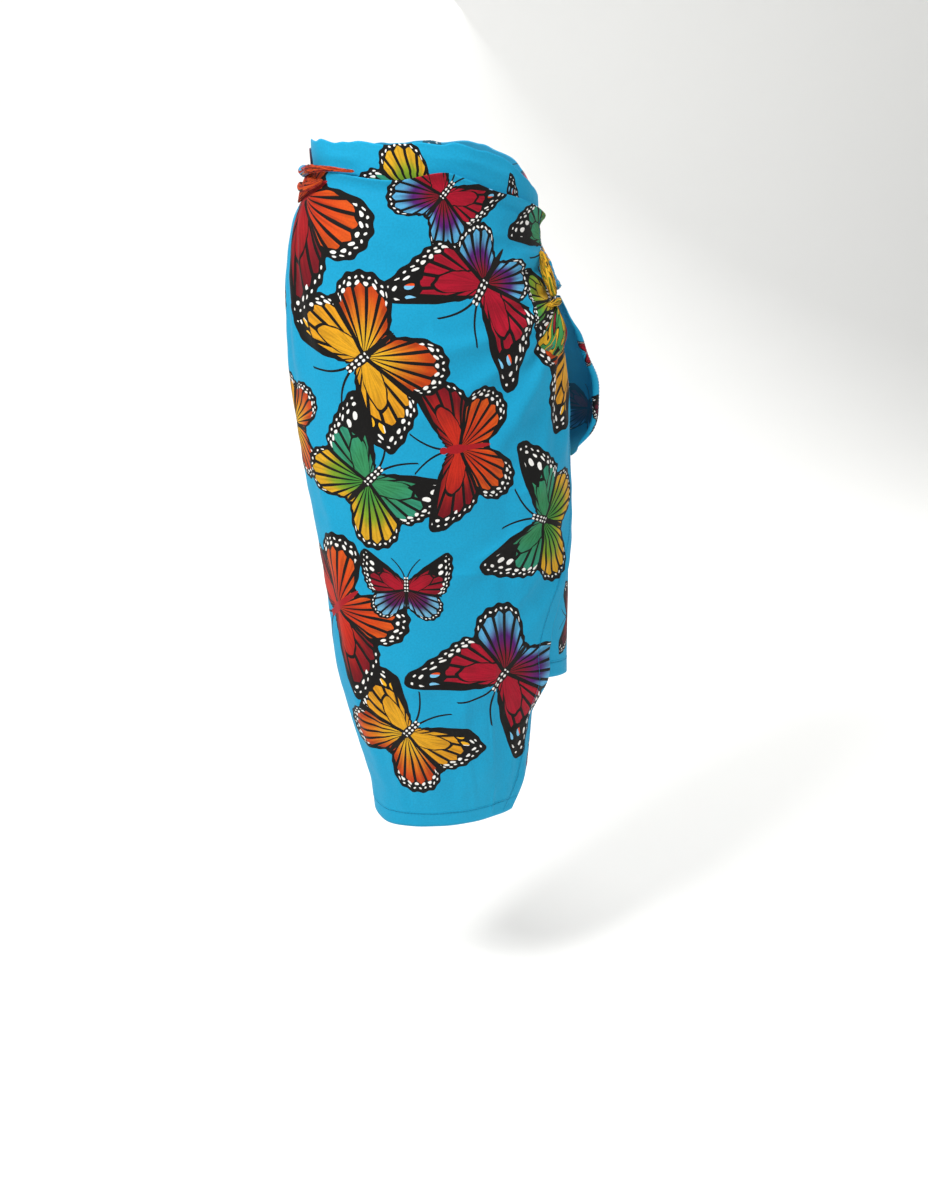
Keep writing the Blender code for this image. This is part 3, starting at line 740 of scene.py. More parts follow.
def makeButterflyGroup():
    tree = bpy.data.node_groups.new("butterfly", "ShaderNodeTree")
    for name, way, form in (("place", "INPUT", "Vector"), ("colour", "OUTPUT", "Color"), ("cover", "OUTPUT", "Float")):
        tree.interface.new_socket(name, in_out=way, socket_type="NodeSocket" + form)
    add = partial(addNode, tree)
    split = add("SeparateXYZ", None, tree.nodes.new("NodeGroupInput").outputs[0])
    x = add("Math", "ABSOLUTE", split.outputs[0])
    y, kind = split.outputs[1], split.outputs[2]
    far = add("Math", "SQRT", add("Math", "ADD", add("Math", "MULTIPLY", x, x), add("Math", "MULTIPLY", y, y)))
    place = add("Math", "MULTIPLY_ADD", add("Math", "ARCTAN2", y, x), 1 / math.pi, 0.5)
    share = add("Math", "MULTIPLY_ADD", kind, 1 / len(wings["order"]), 0.5 / len(wings["order"]))
    own = {part: setStops(add("ValToRGB", None, share), values) for part, values in kinds.items()}
    swept = own["isSwept"]

    outlines = []
    for form in ("long", "swept"):
        curve = add("FloatCurve", None, 1.0, place)
        points = curve.mapping.curves[0].points
        while len(points) < len(wings[form]):
            points.new(0.5, 0.5)
        for point, at, reach in zip(points, *polarOutline(form)):
            point.location = (at, reach / wings["reach"])
        curve.mapping.update()
        outlines.append(curve)
    outline = add("Mix", None, swept, None, *outlines)
    partPlace, tipPlace, cellMiddle = (
        add("Math", "MULTIPLY_ADD", swept, drawing[part][1], drawing[part][0]) for part in ("parting", "tip", "cell"))
    isFore = add("Math", "GREATER_THAN", place, partPlace)
    # small scallops run along the wing's margin
    scallop = add("Math", "SINE", add("Math", "MULTIPLY", place, 2 * math.pi * drawing["scallops"]))
    edge = add("Math", "MULTIPLY", outline, wings["reach"])
    edge = add("Math", "MULTIPLY_ADD", scallop, drawing["scallopDepth"], edge)
    edge = add("Math", "MULTIPLY", edge, add("Math", "MAXIMUM", isFore, own["hindShare"]))
    rho = add("Math", "DIVIDE", far, edge)

    foreDeep = add("MapRange", smooth, rho, *drawing["foreBlend"])
    fore = add("Mix", blend, foreDeep, in6=own["foreRoot"], in7=own["foreTip"])
    hindDeep = add("MapRange", smooth, rho, *drawing["hindBlend"])
    hind = add("Mix", blend, hindDeep, in6=own["hindRoot"], in7=own["hindMiddle"])
    hindFar = add("MapRange", smooth, rho, *drawing["hindFarBlend"])
    hind = add("Mix", blend, hindFar, in6=hind.outputs[2], in7=own["hindTip"])
    fill = add("Mix", blend, isFore, in6=hind.outputs[2], in7=fore.outputs[2])
    # brushed streaks run out along each wing
    streakPlace = add("CombineXYZ", None, add("Math", "MULTIPLY", place, drawing["streaks"]),
                      add("Math", "MULTIPLY", far, drawing["streakLength"]), kind)
    streak = add("TexNoise", {"noise_dimensions": "3D"}, streakPlace, Scale=1.0, Detail=1.0)
    streakTone = add("MapRange", None, streak, *drawing["streakTones"])
    brushed = add("HueSaturation", None, Value=streakTone, Color=fill.outputs[2])

    # veins fan out from the body, fine near it, and stop at a long cell in the forewing
    veinGap = add("Math", "PINGPONG", add("Math", "MULTIPLY_ADD", place, drawing["veins"], drawing["firstVein"]), 0.5)
    veinFar = add("Math", "MULTIPLY", veinGap, add("Math", "MULTIPLY", far, math.pi / drawing["veins"]))
    veinWide = add("Math", "MINIMUM", drawing["veinLine"], add("Math", "MULTIPLY", far, drawing["veinTaper"]))
    cellTurn = add("Math", "MULTIPLY", add("Math", "SUBTRACT", place, cellMiddle), drawing["cellTurn"])
    cellEdge = add("Math", "MULTIPLY_ADD", add("Math", "COSINE", cellTurn), drawing["cellSwing"], drawing["cellReach"])
    pastCell = add("Math", "GREATER_THAN", rho, cellEdge)
    veinOpen = add("Math", "MAXIMUM", pastCell, add("Math", "SUBTRACT", 1.0, isFore))
    vein = add("Math", "MULTIPLY", add("Math", "LESS_THAN", veinFar, veinWide), veinOpen)
    cellFar = add("Math", "ABSOLUTE", add("Math", "SUBTRACT", rho, cellEdge))
    cell = add("Math", "MULTIPLY", add("Math", "LESS_THAN", cellFar, drawing["cellLine"]), isFore)
    fromParting = add("Math", "ABSOLUTE", add("Math", "SUBTRACT", place, partPlace))
    parting = add("Math", "LESS_THAN", add("Math", "MULTIPLY", far, fromParting), drawing["partingLine"])
    # the forewing's leading edge is a dark band, broader towards the tip
    leading = []
    for form in ("leadingLong", "leadingSwept"):
        alongY, alongX, start = drawing[form]
        leading.append(add("Math", "MULTIPLY_ADD", y, alongY, add("Math", "MULTIPLY_ADD", x, alongX, start)))
    leading = add("Math", "MULTIPLY_ADD", far, drawing["leadingGrowth"], add("Mix", None, swept, None, *leading))
    leading = add("Math", "MULTIPLY", add("Math", "GREATER_THAN", leading, drawing["leadingLine"]), isFore)
    # the dark margin is broad at the forewing's tip, and reaches in a little along each vein
    tipFar = add("Math", "MULTIPLY", add("Math", "SUBTRACT", place, tipPlace), drawing["tipSharpness"])
    tipDark = add("Math", "EXPONENT", add("Math", "MULTIPLY", tipFar, add("Math", "MULTIPLY", tipFar, -1.0)))
    tipReach = add("Math", "MULTIPLY", tipDark, add("Math", "MULTIPLY", own["tipDepth"], isFore))
    edgeStart = add("Mix", None, isFore, None, own["hindEdge"], own["foreEdge"])
    edgeStart = add("Math", "SUBTRACT", edgeStart, tipReach)
    reachIn = add("Math", "SUBTRACT", edgeStart, drawing["marginStart"])
    reachIn = add("Math", "MULTIPLY_ADD", veinGap, drawing["marginReach"], reachIn)
    dark = add("Math", "GREATER_THAN", rho, reachIn)
    for line in (leading, parting, vein, cell):
        dark = add("Math", "MAXIMUM", dark, line)

    # rows of spots in the margin, the third in a broad tip only
    beforeTip = add("Math", "LESS_THAN", place, add("Math", "ADD", tipPlace, drawing["spotsPastTip"]))
    offParting = add("Math", "GREATER_THAN", fromParting, drawing["spotsOffParting"])
    marginOpen = add("Math", "MULTIPLY", add("Math", "GREATER_THAN", place, drawing["spotsFrom"]), offParting)
    marginOpen = add("Math", "MULTIPLY", beforeTip, marginOpen)
    rows = []
    for count, out, long, deep, room in drawing["spots"]:
        step = add("Math", "SUBTRACT", add("Math", "FRACT", add("Math", "MULTIPLY", place, count)), 0.5)
        across = add("Math", "MULTIPLY", step, add("Math", "MULTIPLY", far, math.pi / count / long))
        inward = add("Math", "MULTIPLY", add("Math", "SUBTRACT", rho, out), add("Math", "DIVIDE", edge, deep))
        size = add("Math", "ADD", add("Math", "MULTIPLY", across, across), add("Math", "MULTIPLY", inward, inward))
        row = add("Math", "MULTIPLY", add("Math", "LESS_THAN", size, 1.0), marginOpen)
        isRoom = add("Math", "GREATER_THAN", add("Math", "SUBTRACT", out - room, edgeStart), 0.0)
        rows.append(add("Math", "MULTIPLY", row, isRoom))
    isHigh = add("Math", "GREATER_THAN", place, add("Math", "SUBTRACT", tipPlace, drawing["highSpots"]))
    tipSpot = add("Mix", blend, isHigh, in6=own["lowSpot"], in7=own["highSpot"])

    # the body lies over the wings, with a pale dotted breast, and two feelers stand out from its head
    ovals = []
    for middle, halfWide, halfLong in drawing["body"]:
        ovalX = add("Math", "DIVIDE", x, halfWide)
        ovalY = add("Math", "DIVIDE", add("Math", "SUBTRACT", y, middle), halfLong)
        ovals.append(add("Math", "ADD", add("Math", "MULTIPLY", ovalX, ovalX), add("Math", "MULTIPLY", ovalY, ovalY)))
    nearest = add("Math", "MINIMUM", add("Math", "MINIMUM", ovals[0], ovals[1]), ovals[2])
    isBody = add("Math", "LESS_THAN", nearest, 1.0)
    count, flatness, fineness, aside, lowest, dotSize = drawing["breast"]
    breastY = add("Math", "SUBTRACT", add("Math", "FRACT", add("Math", "MULTIPLY", y, count)), 0.5)
    breastX = add("Math", "MULTIPLY", add("Math", "SUBTRACT", x, aside), fineness)
    breastSize = add("Math", "ADD", add("Math", "MULTIPLY", breastX, breastX),
                     add("Math", "MULTIPLY", breastY, add("Math", "MULTIPLY", breastY, flatness)))
    breast = add("Math", "LESS_THAN", breastSize, dotSize)
    breast = add("Math", "MULTIPLY", breast, add("Math", "GREATER_THAN", y, lowest))
    breast = add("Math", "MULTIPLY", add("Math", "MULTIPLY", breast, own["breast"]), isBody)
    start, aside, length, bend, slant, line = drawing["feeler"]
    feelerUp = add("Math", "SUBTRACT", y, start)
    feelerX = add("Math", "MULTIPLY", feelerUp, add("Math", "MULTIPLY_ADD", feelerUp, bend, slant))
    feelerFar = add("Math", "ABSOLUTE", add("Math", "SUBTRACT", add("Math", "SUBTRACT", x, aside), feelerX))
    feeler = add("Math", "MULTIPLY", add("Math", "LESS_THAN", feelerFar, line),
                 add("Math", "GREATER_THAN", feelerUp, 0.0))
    feeler = add("Math", "MULTIPLY", feeler, add("Math", "LESS_THAN", feelerUp, length))

    inWing = add("Math", "LESS_THAN", rho, 1.0)
    covered = add("Math", "MAXIMUM", inWing, isBody)
    colour = brushed.outputs[0]
    for where, over in (
        (dark, linear(wings["black"])), (add("Math", "MAXIMUM", rows[0], rows[1]), linear(wings["white"])),
        (rows[2], tipSpot.outputs[2]), (isBody, own["body"]), (breast, linear(wings["white"])),
        (add("Math", "SUBTRACT", 1.0, covered), linear(wings["black"])),
    ):
        colour = add("Mix", blend, where, in6=colour, in7=over).outputs[2]
    cover = add("Math", "MULTIPLY", add("Math", "MAXIMUM", covered, feeler), add("Math", "GREATER_THAN", kind, -0.5))
    leave = tree.nodes.new("NodeGroupOutput")
    tree.links.new(colour, leave.inputs[0])
    tree.links.new(cover.outputs[0], leave.inputs[1])
    return tree


butterflyGroup = makeButterflyGroup()

# Plain-weave viscose rayon, roller printed: matt and limp, with a faint silky sheen where it turns away.
# The print lies in the yarn, so it has the cloth's own gloss, and shows paler on the reverse.
rayon = {
    "ground": "#14a4cf",
    "groundDeep": "#0d97c3",
    "reverse": "#62b9dc",
    "roughness": 0.72,
    "sheen": 0.04,
    "sheenRoughness": 0.45,
    "gloss": 0.22,
    "thickness": 0.0005,
    "threadSpacing": 0.0009,  # real threads are 0.35 mm apart; drawn coarser, so that they show close up
    "weaveRise": 0.00006,
    "mottle": 9.0,
    "dyeStreaks": 420.0,
    "dyeTones": (0.3, 0.7, 0.94, 1.05),
    "crumple": 55.0,
    "crumpleRise": 0.0016,
    "reverseFade": 0.30,
    "hemEdge": (0.0205, 0.0222),
    "hemRise": 0.0006,
    "seam": 0.0190,
    "seamWidth": 0.0016,
    "redRun": (0.10, 0.13),
}


def wearRayon(shader, colour, bump):
    links = shader.id_data.links
    links.new(colour, shader.inputs["Base Color"])
    links.new(bump.outputs[0], shader.inputs["Normal"])
    shader.inputs["Roughness"].default_value = rayon["roughness"]
    shader.inputs["Sheen Weight"].default_value = rayon["sheen"]
    shader.inputs["Sheen Roughness"].default_value = rayon["sheenRoughness"]
    shader.inputs["Specular IOR Level"].default_value = rayon["gloss"]


def makePrintedRayon(name, fade):
    material, shader, add = newMaterial(name)
    cloth = add("UVMap", {"uv_map": "cloth"})
    mottle = add("TexNoise", flatNoise, cloth, Scale=rayon["mottle"], Detail=3.0)
    colour = add("Mix", blend, mottle, in6=linear(rayon["ground"]), in7=linear(rayon["groundDeep"])).outputs[2]
    for layer in (2, 1, 0):
        place = add("Attribute", {"attribute_name": f"butterfly{layer}"})
        motif = add("Group", {"node_tree": butterflyGroup}, place.outputs["Vector"])
        colour = add("Mix", blend, motif.outputs[1], in6=colour, in7=motif.outputs[0]).outputs[2]
    # dye takes a little unevenly from thread to thread
    streak = add("TexNoise", flatNoise, cloth, Scale=rayon["dyeStreaks"], Detail=2.0)
    uneven = add("MapRange", None, streak, *rayon["dyeTones"])
    colour = add("HueSaturation", None, Value=uneven, Color=colour).outputs[0]
    if fade:
        colour = add("Mix", blend, fade, in6=colour, in7=linear(rayon["reverse"])).outputs[2]
    split = add("SeparateXYZ", None, cloth)
    pace = 2 * math.pi / rayon["threadSpacing"]
    warp, weft = (add("Math", "SINE", add("Math", "MULTIPLY", split.outputs[i], pace)) for i in (0, 1))
    weaveBump = add("Bump", None, 0.25, rayon["weaveRise"], Height=add("Math", "MULTIPLY", warp, weft))
    # the turned hem is thicker, and its seam pulls the cloth in a little
    fromHem = add("Attribute", {"attribute_name": "fromHem"}).outputs["Fac"]
    hemStep = add("MapRange", smooth, fromHem, *rayon["hemEdge"], 1.0, 0.0)
    seamFar = add("Math", "ABSOLUTE", add("Math", "SUBTRACT", fromHem, rayon["seam"]))
    seamDent = add("MapRange", smooth, seamFar, 0.0, rayon["seamWidth"], -0.8, 0.0)
    hemHeight = add("Math", "ADD", hemStep, seamDent)
    hemBump = add("Bump", None, 1.0, rayon["hemRise"], Height=hemHeight, Normal=weaveBump)
    crumple = add("TexNoise", flatNoise, cloth, Scale=rayon["crumple"], Detail=4.0, Distortion=0.4)
    wearRayon(shader, colour, add("Bump", None, 0.35, rayon["crumpleRise"], Height=crumple, Normal=hemBump))
    return material


printedRayon = makePrintedRayon("printedRayon", 0)
printedRayonReverse = makePrintedRayon("printedRayonReverse", rayon["reverseFade"])
print("the cloth's materials are made")


def addWall(piece):
    # the cloth's real thickness, to the inside
    wall = piece.modifiers.new("thickness", "SOLIDIFY")
    wall.thickness = rayon["thickness"]
    wall.offset = -1
    return wall


for piece, node in (
    (outerCloth, "front_wrap"), (innerCloth, "under_wrap"), (tailCloth, "tail_panel"), (loopCloth, "knot_swag"),
):
    piece.data.materials.append(printedRayon)
    piece.data.materials.append(printedRayonReverse)
    addWall(piece).material_offset = 1
    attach(piece, "root")
    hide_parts(node)

# Twisted and gathered corners of the cloth: angle, height, gap to the body, radius
rolls = {
    "backTie": {
        "node": "back_tie",
        "route": [
            (-46, 0.011, 0.0059, 0.0014), (-62, 0.012, 0.0057, 0.0028), (-80, 0.009, 0.0045, 0.0048),
            (-96, 0.004, 0.0038, 0.0058), (-112, 0.000, 0.0036, 0.0060), (-150, -0.008, 0.0034, 0.0064),
            (-190, -0.018, 0.0014, 0.0064), (-225, -0.036, 0.0014, 0.0066), (-245, -0.060, 0.0028, 0.0068),
            (-257, -0.086, 0.0036, 0.0070), (-267, -0.112, 0.0030, 0.0068), (-276, -0.132, 0.0020, 0.0056),
            (-285, -0.142, 0.0060, 0.0040),
        ],
        "steps": 420,
        "around": 44,
        "turns": 9,
        "colours": "tie",
    },
    "hipStrand": {
        "node": "hip_strand",
        "route": [
            (-66, -0.001, 0.0058, 0.0020), (-76, -0.008, 0.0052, 0.0040), (-88, -0.014, 0.0050, 0.0054),
            (-100, -0.015, 0.0044, 0.0054), (-112, -0.018, 0.0040, 0.0040),
        ],
        "steps": 90,
        "around": 40,
        "turns": 7,
        "colours": "tie",
    },
    "knotEnd": {
        "node": "knot_end",
        "route": [
            (57, -0.090, 0.0062, 0.0026), (56, -0.100, 0.0064, 0.0046), (54, -0.113, 0.0066, 0.0062),
            (53, -0.126, 0.0080, 0.0062), (53, -0.143, 0.0096, 0.0038),
        ],
        "steps": 70,
        "around": 44,
        "turns": 4,
        "colours": "knot",
    },
    "knotBand": {
        "node": "knot_band",
        "route": [
            (47, -0.152, 0.0090, 0.0018), (50, -0.150, 0.0100, 0.0036), (54, -0.149, 0.0108, 0.0044),
            (58, -0.150, 0.0100, 0.0036), (61, -0.152, 0.0090, 0.0020),
        ],
        "steps": 60,
        "around": 40,
        "turns": 6,
        "colours": "knot",
    },
}

# How a bundle of cloth is shaped: lengths in metres, swells in parts of its radius
bundle = {
    "lift": 1.1,
    "probe": 0.01,
    "clothIn": 0.045,
    "roundedEnds": 0.003,
    "size": 1.04,
    "lobes": (0.09, 3),
    "pleats": (-0.26, 4.5, 1.3, 40),
    "finePleats": (0.03, 13, 60),
}


def runAlong(line):
    return np.concatenate([[0], np.cumsum(np.linalg.norm(np.diff(line, axis=0), axis=1))])


def makeRoll(name, roll):
    route = np.array(roll["route"])
    place = np.linspace(0, len(route) - 1, roll["steps"] + 1)
    numbered = np.column_stack([np.arange(len(route)), route])
    angle, height, gap, radius = (readTable(numbered, place, c) for c in (1, 2, 3, 4))
    away = gap + radius * bundle["lift"]
    middle = bodyPoint(angle, height, away)
    out = (bodyPoint(angle, height, away + bundle["probe"]) - middle) / bundle["probe"]
    run = runAlong(middle)
    way = np.gradient(middle, axis=0)
    way /= np.linalg.norm(way, axis=1)[:, None]
    out -= way * (out * way).sum(axis=1)[:, None]
    out /= np.linalg.norm(out, axis=1)[:, None]
    side = np.cross(way, out)
    grid = bmesh.new()
    bmesh.ops.create_grid(grid, x_segments=roll["around"], y_segments=roll["steps"], size=0.5)
    flat = grid.loops.layers.uv.new("cloth")
    ends = ease(np.minimum(run, run[-1] - run) / bundle["roundedEnds"]) ** 0.5
    for face in grid.faces:
        for corner in face.loops:
            u, v = corner.vert.co.x + 0.5, 0.5 - corner.vert.co.y
            corner[flat].uv = (u * bundle["clothIn"], v * run[-1])
    for vertex in grid.verts:
        u, v = vertex.co.x + 0.5, 0.5 - vertex.co.y
        i = round(v * roll["steps"])
        # a bundle of a few lobes that turns as it goes, with sharper small pleats between
        aroundRoll = 2 * math.pi * u
        twist = aroundRoll - 2 * math.pi * roll["turns"] * run[i]
        swell, lobes = bundle["lobes"]
        depth, pleats, wander, wanderPace = bundle["pleats"]
        fineSwell, finePleats, finePace = bundle["finePleats"]
        pleat = swell * math.cos(lobes * twist)
        pleat += depth * abs(math.cos(pleats * twist + wander * math.sin(wanderPace * run[i]))) ** 3
        pleat += fineSwell * math.cos(finePleats * twist + finePace * run[i])
        far = radius[i] * ends[i] * (bundle["size"] + pleat)
        vertex.co = Vector(middle[i] + far * (math.cos(aroundRoll) * out[i] + math.sin(aroundRoll) * side[i]))
    bmesh.ops.remove_doubles(grid, verts=grid.verts, dist=1e-6)
    bmesh.ops.recalc_face_normals(grid, faces=grid.faces)
    piece = addObject(name, toMesh(name, grid))
    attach(piece, "root")
    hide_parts(roll["node"])
    return piece


def makeTwistedRayon(name, pace, stops, farStops=None):
    # the same printed rayon, gathered, so that its print shows as broken streaks along the folds
    material, shader, add = newMaterial(name)
    cloth = add("UVMap", {"uv_map": "cloth"})
    stretched = add("Mapping", None, cloth, Scale=(*pace, 1))
    patch = add("TexNoise", flatNoise, stretched, Scale=1.0, Detail=1.5, Distortion=0.6)
    colour = setStops(add("ValToRGB", None, patch), stops).outputs[0]
    if farStops:
        # further along, the gathered print has more of its ground colour
        farColour = setStops(add("ValToRGB", None, patch), farStops)
        further = add("MapRange", None, add("SeparateXYZ", None, cloth).outputs[1], *rayon["redRun"])
        colour = add("Mix", blend, further, in6=colour, in7=farColour).outputs[2]
    crumple = add("TexNoise", flatNoise, stretched, Scale=2.0, Detail=3.0)
    wearRayon(shader, colour, add("Bump", None, 0.5, 0.001, Height=crumple))
    return material


twistedRayon = {
    "tie": makeTwistedRayon("twistedRayonRed", (150, 11), [
        (0.0, "#8e121a"), (0.40, "#0a0807"), (0.445, "#bc3c0c"), (0.505, "#0a0807"), (0.54, "#cc4a0e"),
        (0.64, "#98101c"),
    ], [
        (0.0, "#0d97c3"), (0.40, "#0a0807"), (0.43, "#b8360c"), (0.47, "#14a4cf"), (0.57, "#0a0807"), (0.60, "#e69c18"),
        (0.64, "#0d97c3"),
    ]),
    "knot": makeTwistedRayon("twistedRayonYellow", (260, 34), [
        (0.0, "#a87f16"), (0.36, "#0a0807"), (0.42, "#d9a21c"), (0.52, "#0a0807"), (0.56, "#6f7d20"), (0.64, "#e2b02a"),
    ]),
    "fan": makeTwistedRayon("twistedRayonGreen", (100, 14), [
        (0.0, "#7c0f1c"), (0.38, "#0a0807"), (0.41, "#3a8444"), (0.475, "#0a0807"), (0.49, "#d0a024"),
        (0.56, "#0a0807"), (0.58, "#2c8c64"), (0.66, "#7c0f1c"),
    ]),
}
for name, roll in rolls.items():
    piece = makeRoll(name, roll)
    piece.data.materials.append(twistedRayon[roll["colours"]])

# Pleated fans of cloth, drawn together at a neck: the neck's angle and height, where the fan's far edge runs, and
# for one an opening where two pleats part
ruffs = {
    "hipRuff": {
        "node": "hip_strand",
        "neck": (-101, -0.034),
        "farEdge": [(0.0, -70, -0.006), (0.30, -84, 0.002), (0.65, -100, 0.003), (1.0, -116, -0.004)],
        "gap": 0.0016,
        "bulge": 0.0034,
        "pleats": 8,
        "pleatRise": 0.0023,
        "opening": (0.24, 0.62, 0.085, 0.16),
        "length": 0.036,
        "width": 0.060,
        "colours": "tie",
    },
    "knotFan": {
        "node": "knot_end",
        "neck": (54, -0.150),
        "farEdge": [(0.0, 37, -0.190), (0.25, 43, -0.205), (0.6, 52, -0.211), (1.0, 62, -0.199)],
        "gap": 0.0014,
        "bulge": 0.0030,
        "pleats": 5,
        "pleatRise": 0.0022,
        "length": 0.055,
        "width": 0.050,
        "colours": "fan",
    },
}

# How every fan's pleats are shaped: widths and eases in parts of the fan
pleating = {
    "neckWidth": 0.04,
    "spread": 0.9,
    "farScallop": 0.0018,
    "sway": 0.05,
    "swayPace": 5,
    "neckRise": 0.35,
    "fall": 0.9,
    "sideEase": 0.07,
    "farEase": 0.16,
    "rounding": 0.7,
}


def makeRuff(name, ruff, across=96, out=30):
    grid = bmesh.new()
    bmesh.ops.create_grid(grid, x_segments=across, y_segments=out, size=0.5)
    flat = grid.loops.layers.uv.new("cloth")
    u = np.array([vertex.co.x + 0.5 for vertex in grid.verts])
    v = np.array([0.5 - vertex.co.y for vertex in grid.verts])
    neckAngle, neckHeight = ruff["neck"]
    reach = v ** pleating["spread"] * (1 - pleating["neckWidth"]) + pleating["neckWidth"]
    angle = neckAngle + (readTable(ruff["farEdge"], u, 1) - neckAngle) * reach
    height = neckHeight + (readTable(ruff["farEdge"], u, 2) - neckHeight) * reach
    height -= pleating["farScallop"] * v * np.abs(np.sin(math.pi * ruff["pleats"] * u))
    top = readTable(outerStretch["top"], angle, 1)
    hem = readTable(outerStretch["hem"], angle, 1)
    under = outerOffset(angle, np.minimum(height, top), np.clip((top - height) / (top - hem), 0, 1))
    swayed = u + pleating["sway"] * np.sin(pleating["swayPace"] * v)
    pleat = np.abs(np.sin(math.pi * ruff["pleats"] * swayed))
    pleat *= pleating["neckRise"] + (1 - pleating["neckRise"]) * np.sin(math.pi * v * pleating["fall"])
    edges = ease(np.minimum(u, 1 - u) / pleating["sideEase"]) * ease((1.02 - v) / pleating["farEase"])
    bulge = ruff["bulge"] * np.sin(math.pi * np.clip(v, 0, 1)) ** pleating["rounding"]
    outward = under + ruff["gap"] * (0.4 + edges) + edges * (ruff["pleatRise"] * pleat + bulge)
    points = bodyPoint(angle, height, outward)
    for face in grid.faces:
        for corner in face.loops:
            corner[flat].uv = ((corner.vert.co.x + 0.5) * ruff["width"], (0.5 - corner.vert.co.y) * ruff["length"])
    for vertex, point in zip(grid.verts, points):
        vertex.co = Vector(point)
    if "opening" in ruff:
        atU, atV, halfU, halfV = ruff["opening"]
        inside = ((u - atU) / halfU) ** 2 + ((v - atV) / halfV) ** 2 < 1
        gone = [vertex for vertex, hidden in zip(grid.verts, inside) if hidden]
        bmesh.ops.delete(grid, geom=gone, context="VERTS")
    piece = addObject(name, toMesh(name, grid))
    addWall(piece)
    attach(piece, "root")
    return piece


for name, ruff in ruffs.items():
    piece = makeRuff(name, ruff)
    piece.data.materials.append(twistedRayon[ruff["colours"]])
print("the twisted corners, the fans and the knot are made")

# Stitches along the turned hems: small straight threads of spun polyester, twisted and matt, at an even step
sewing = {
    "step": 0.0042,  # the real stitch is about 3 mm; drawn a little longer, so that the row reads
    "long": 0.0030,
    "radius": 0.00028,
    "sides": 5,
    "proud": 0.00018,
    "thread": "#0b86b0",
    "fibre": 2600.0,
    "roughness": 0.75,
    "gloss": 0.3,
}


def pointAt(at, run, line):
    return np.array([np.interp(at, run, line[:, k]) for k in range(3)])


def sampleRow(points, lengths, heights, edge, inset):
    # points along one line of the cloth: a set way above the foot, or in from its start or end
    if edge == "foot":
        falls = heights.T
        return np.array([pointAt(-fall[-1] - inset, -fall, points[:, i]) for i, fall in enumerate(falls)])
    ends = lengths[:, 0] + inset if edge == "start" else lengths[:, -1] - inset
    return np.array([pointAt(at, run, row) for at, run, row in zip(ends, lengths, points)])


def makeStitches(name, rowsOfPoints):
    grid = bmesh.new()
    for line, outside in rowsOfPoints:
        run = runAlong(line)
        for at in np.arange(sewing["step"], run[-1] - sewing["step"], sewing["step"]):
            first, last = (pointAt(at + side * sewing["long"] / 2, run, line) for side in (-1, 1))
            middle = (first + last) / 2
            out = Vector(pointAt(at, run, outside) - middle).normalized()
            turn = Vector(last - first).normalized().to_track_quat("Z", "Y").to_matrix().to_4x4()
            turn.translation = Vector(middle) + out * sewing["proud"]
            bmesh.ops.create_cone(grid, cap_ends=True, segments=sewing["sides"], radius1=sewing["radius"],
                                  radius2=sewing["radius"], depth=sewing["long"], matrix=turn)
    piece = addObject(name, toMesh(name, grid))
    piece.data.materials.append(thread)
    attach(piece, "root")
    return piece


thread, threadShader, addToThread = newMaterial("sewingThread")
twist = addToThread("TexNoise", None, addToThread("TexCoord").outputs["Object"], Scale=sewing["fibre"], Detail=1.0)
tone = addToThread("MapRange", None, twist, 0.3, 0.7, 0.85, 1.1)
tinted = addToThread("HueSaturation", None, Value=tone, Color=linear(sewing["thread"]))
thread.node_tree.links.new(tinted.outputs[0], threadShader.inputs["Base Color"])
threadShader.inputs["Roughness"].default_value = sewing["roughness"]
threadShader.inputs["Specular IOR Level"].default_value = sewing["gloss"]


def outwardShift(points):
    # the same grid of points a little further out, to tell which way is out
    out = np.cross(np.gradient(points, axis=0), np.gradient(points, axis=1))
    out /= np.linalg.norm(out, axis=-1)[..., None] + 1e-12
    return points + 0.001 * out


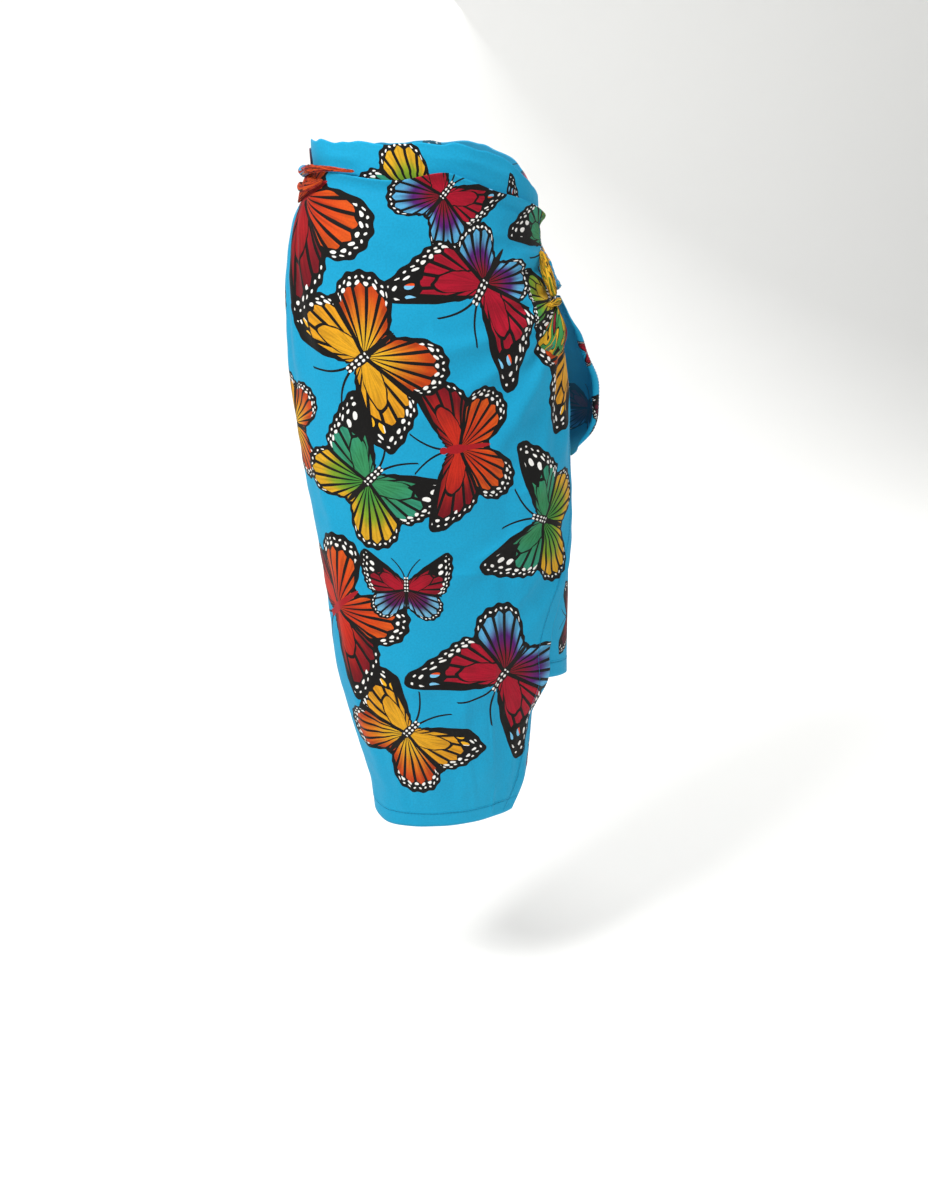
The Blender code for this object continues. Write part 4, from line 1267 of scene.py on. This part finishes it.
for name, node, points, flat, edges in (
    ("outerStitches", "front_wrap", outerPoints, outerFlat, ("foot", "end")),
    ("innerStitches", "under_wrap", innerPoints, innerFlat, ("foot",)),
    ("tailStitches", "tail_panel", tailPoints, tailFlat, ("foot", "end")),
    ("loopStitches", "knot_swag", loopPoints, loopFlat, ("start",)),
):
    grids = (points, outwardShift(points))
    lines = [[sampleRow(grid, flat[..., 0], flat[..., 1], edge, rayon["seam"]) for grid in grids] for edge in edges]
    makeStitches(name, lines)
print("the hems are stitched")

# A plain pale floor that runs up into a backdrop, and soft studio light: each light's place, aim, width and power
studio = {
    "floor": -1.086,
    "near": -3.2,
    "wall": 2.6,
    "bend": 0.9,
    "length": 9.0,
    "halfWidth": 5,
    "paper": "#f4f4f2",
    "roughness": 0.9,
    "air": 0.40,
    "lights": {
        "keyLight": ((-1.9, -1.2, 1.9), (0, 0, -0.3), 0.7, 72),
        "fillLight": ((2.2, -2.0, 0.4), (0, 0, -0.4), 1.8, 12),
        "topLight": ((0.1, -0.2, 2.4), (0, 0, -0.3), 1.0, 36),
        "backLight": ((1.2, 2.1, 0.8), (0, 0, -0.3), 1.6, 30),
    },
}
bendLength = studio["bend"] * math.pi / 2
flatLength = studio["wall"] - studio["near"] - studio["bend"]
sweep = bmesh.new()
bmesh.ops.create_grid(sweep, x_segments=1, y_segments=60, size=1)
for vertex in sweep.verts:
    along = (vertex.co.y + 1) / 2 * studio["length"]
    turn = min(max((along - flatLength) / studio["bend"], 0), math.pi / 2)
    y = studio["near"] + min(along, flatLength) + studio["bend"] * math.sin(turn)
    z = studio["floor"] + studio["bend"] * (1 - math.cos(turn)) + max(along - flatLength - bendLength, 0)
    vertex.co = Vector((vertex.co.x * studio["halfWidth"], y, z))
floor = addObject("floor", toMesh("sweep", sweep))
paper, paperShader, _ = newMaterial("palePaper")
paperShader.inputs["Base Color"].default_value = linear(studio["paper"])
paperShader.inputs["Roughness"].default_value = studio["roughness"]
floor.data.materials.append(paper)

for name, (place, aim, size, power) in studio["lights"].items():
    lamp = bpy.data.lights.new(name, "AREA")
    lamp.size = size
    lamp.energy = power
    light = addObject(name, lamp)
    light.location = place
    light.rotation_euler = facing(Vector(aim) - Vector(place))
world = bpy.data.worlds.new("studioAir")
bpy.context.scene.world = world
world.use_nodes = True
world.node_tree.nodes["Background"].inputs["Color"].default_value = (1, 1, 1, 1)
world.node_tree.nodes["Background"].inputs["Strength"].default_value = studio["air"]
print("the floor and the lights are set")
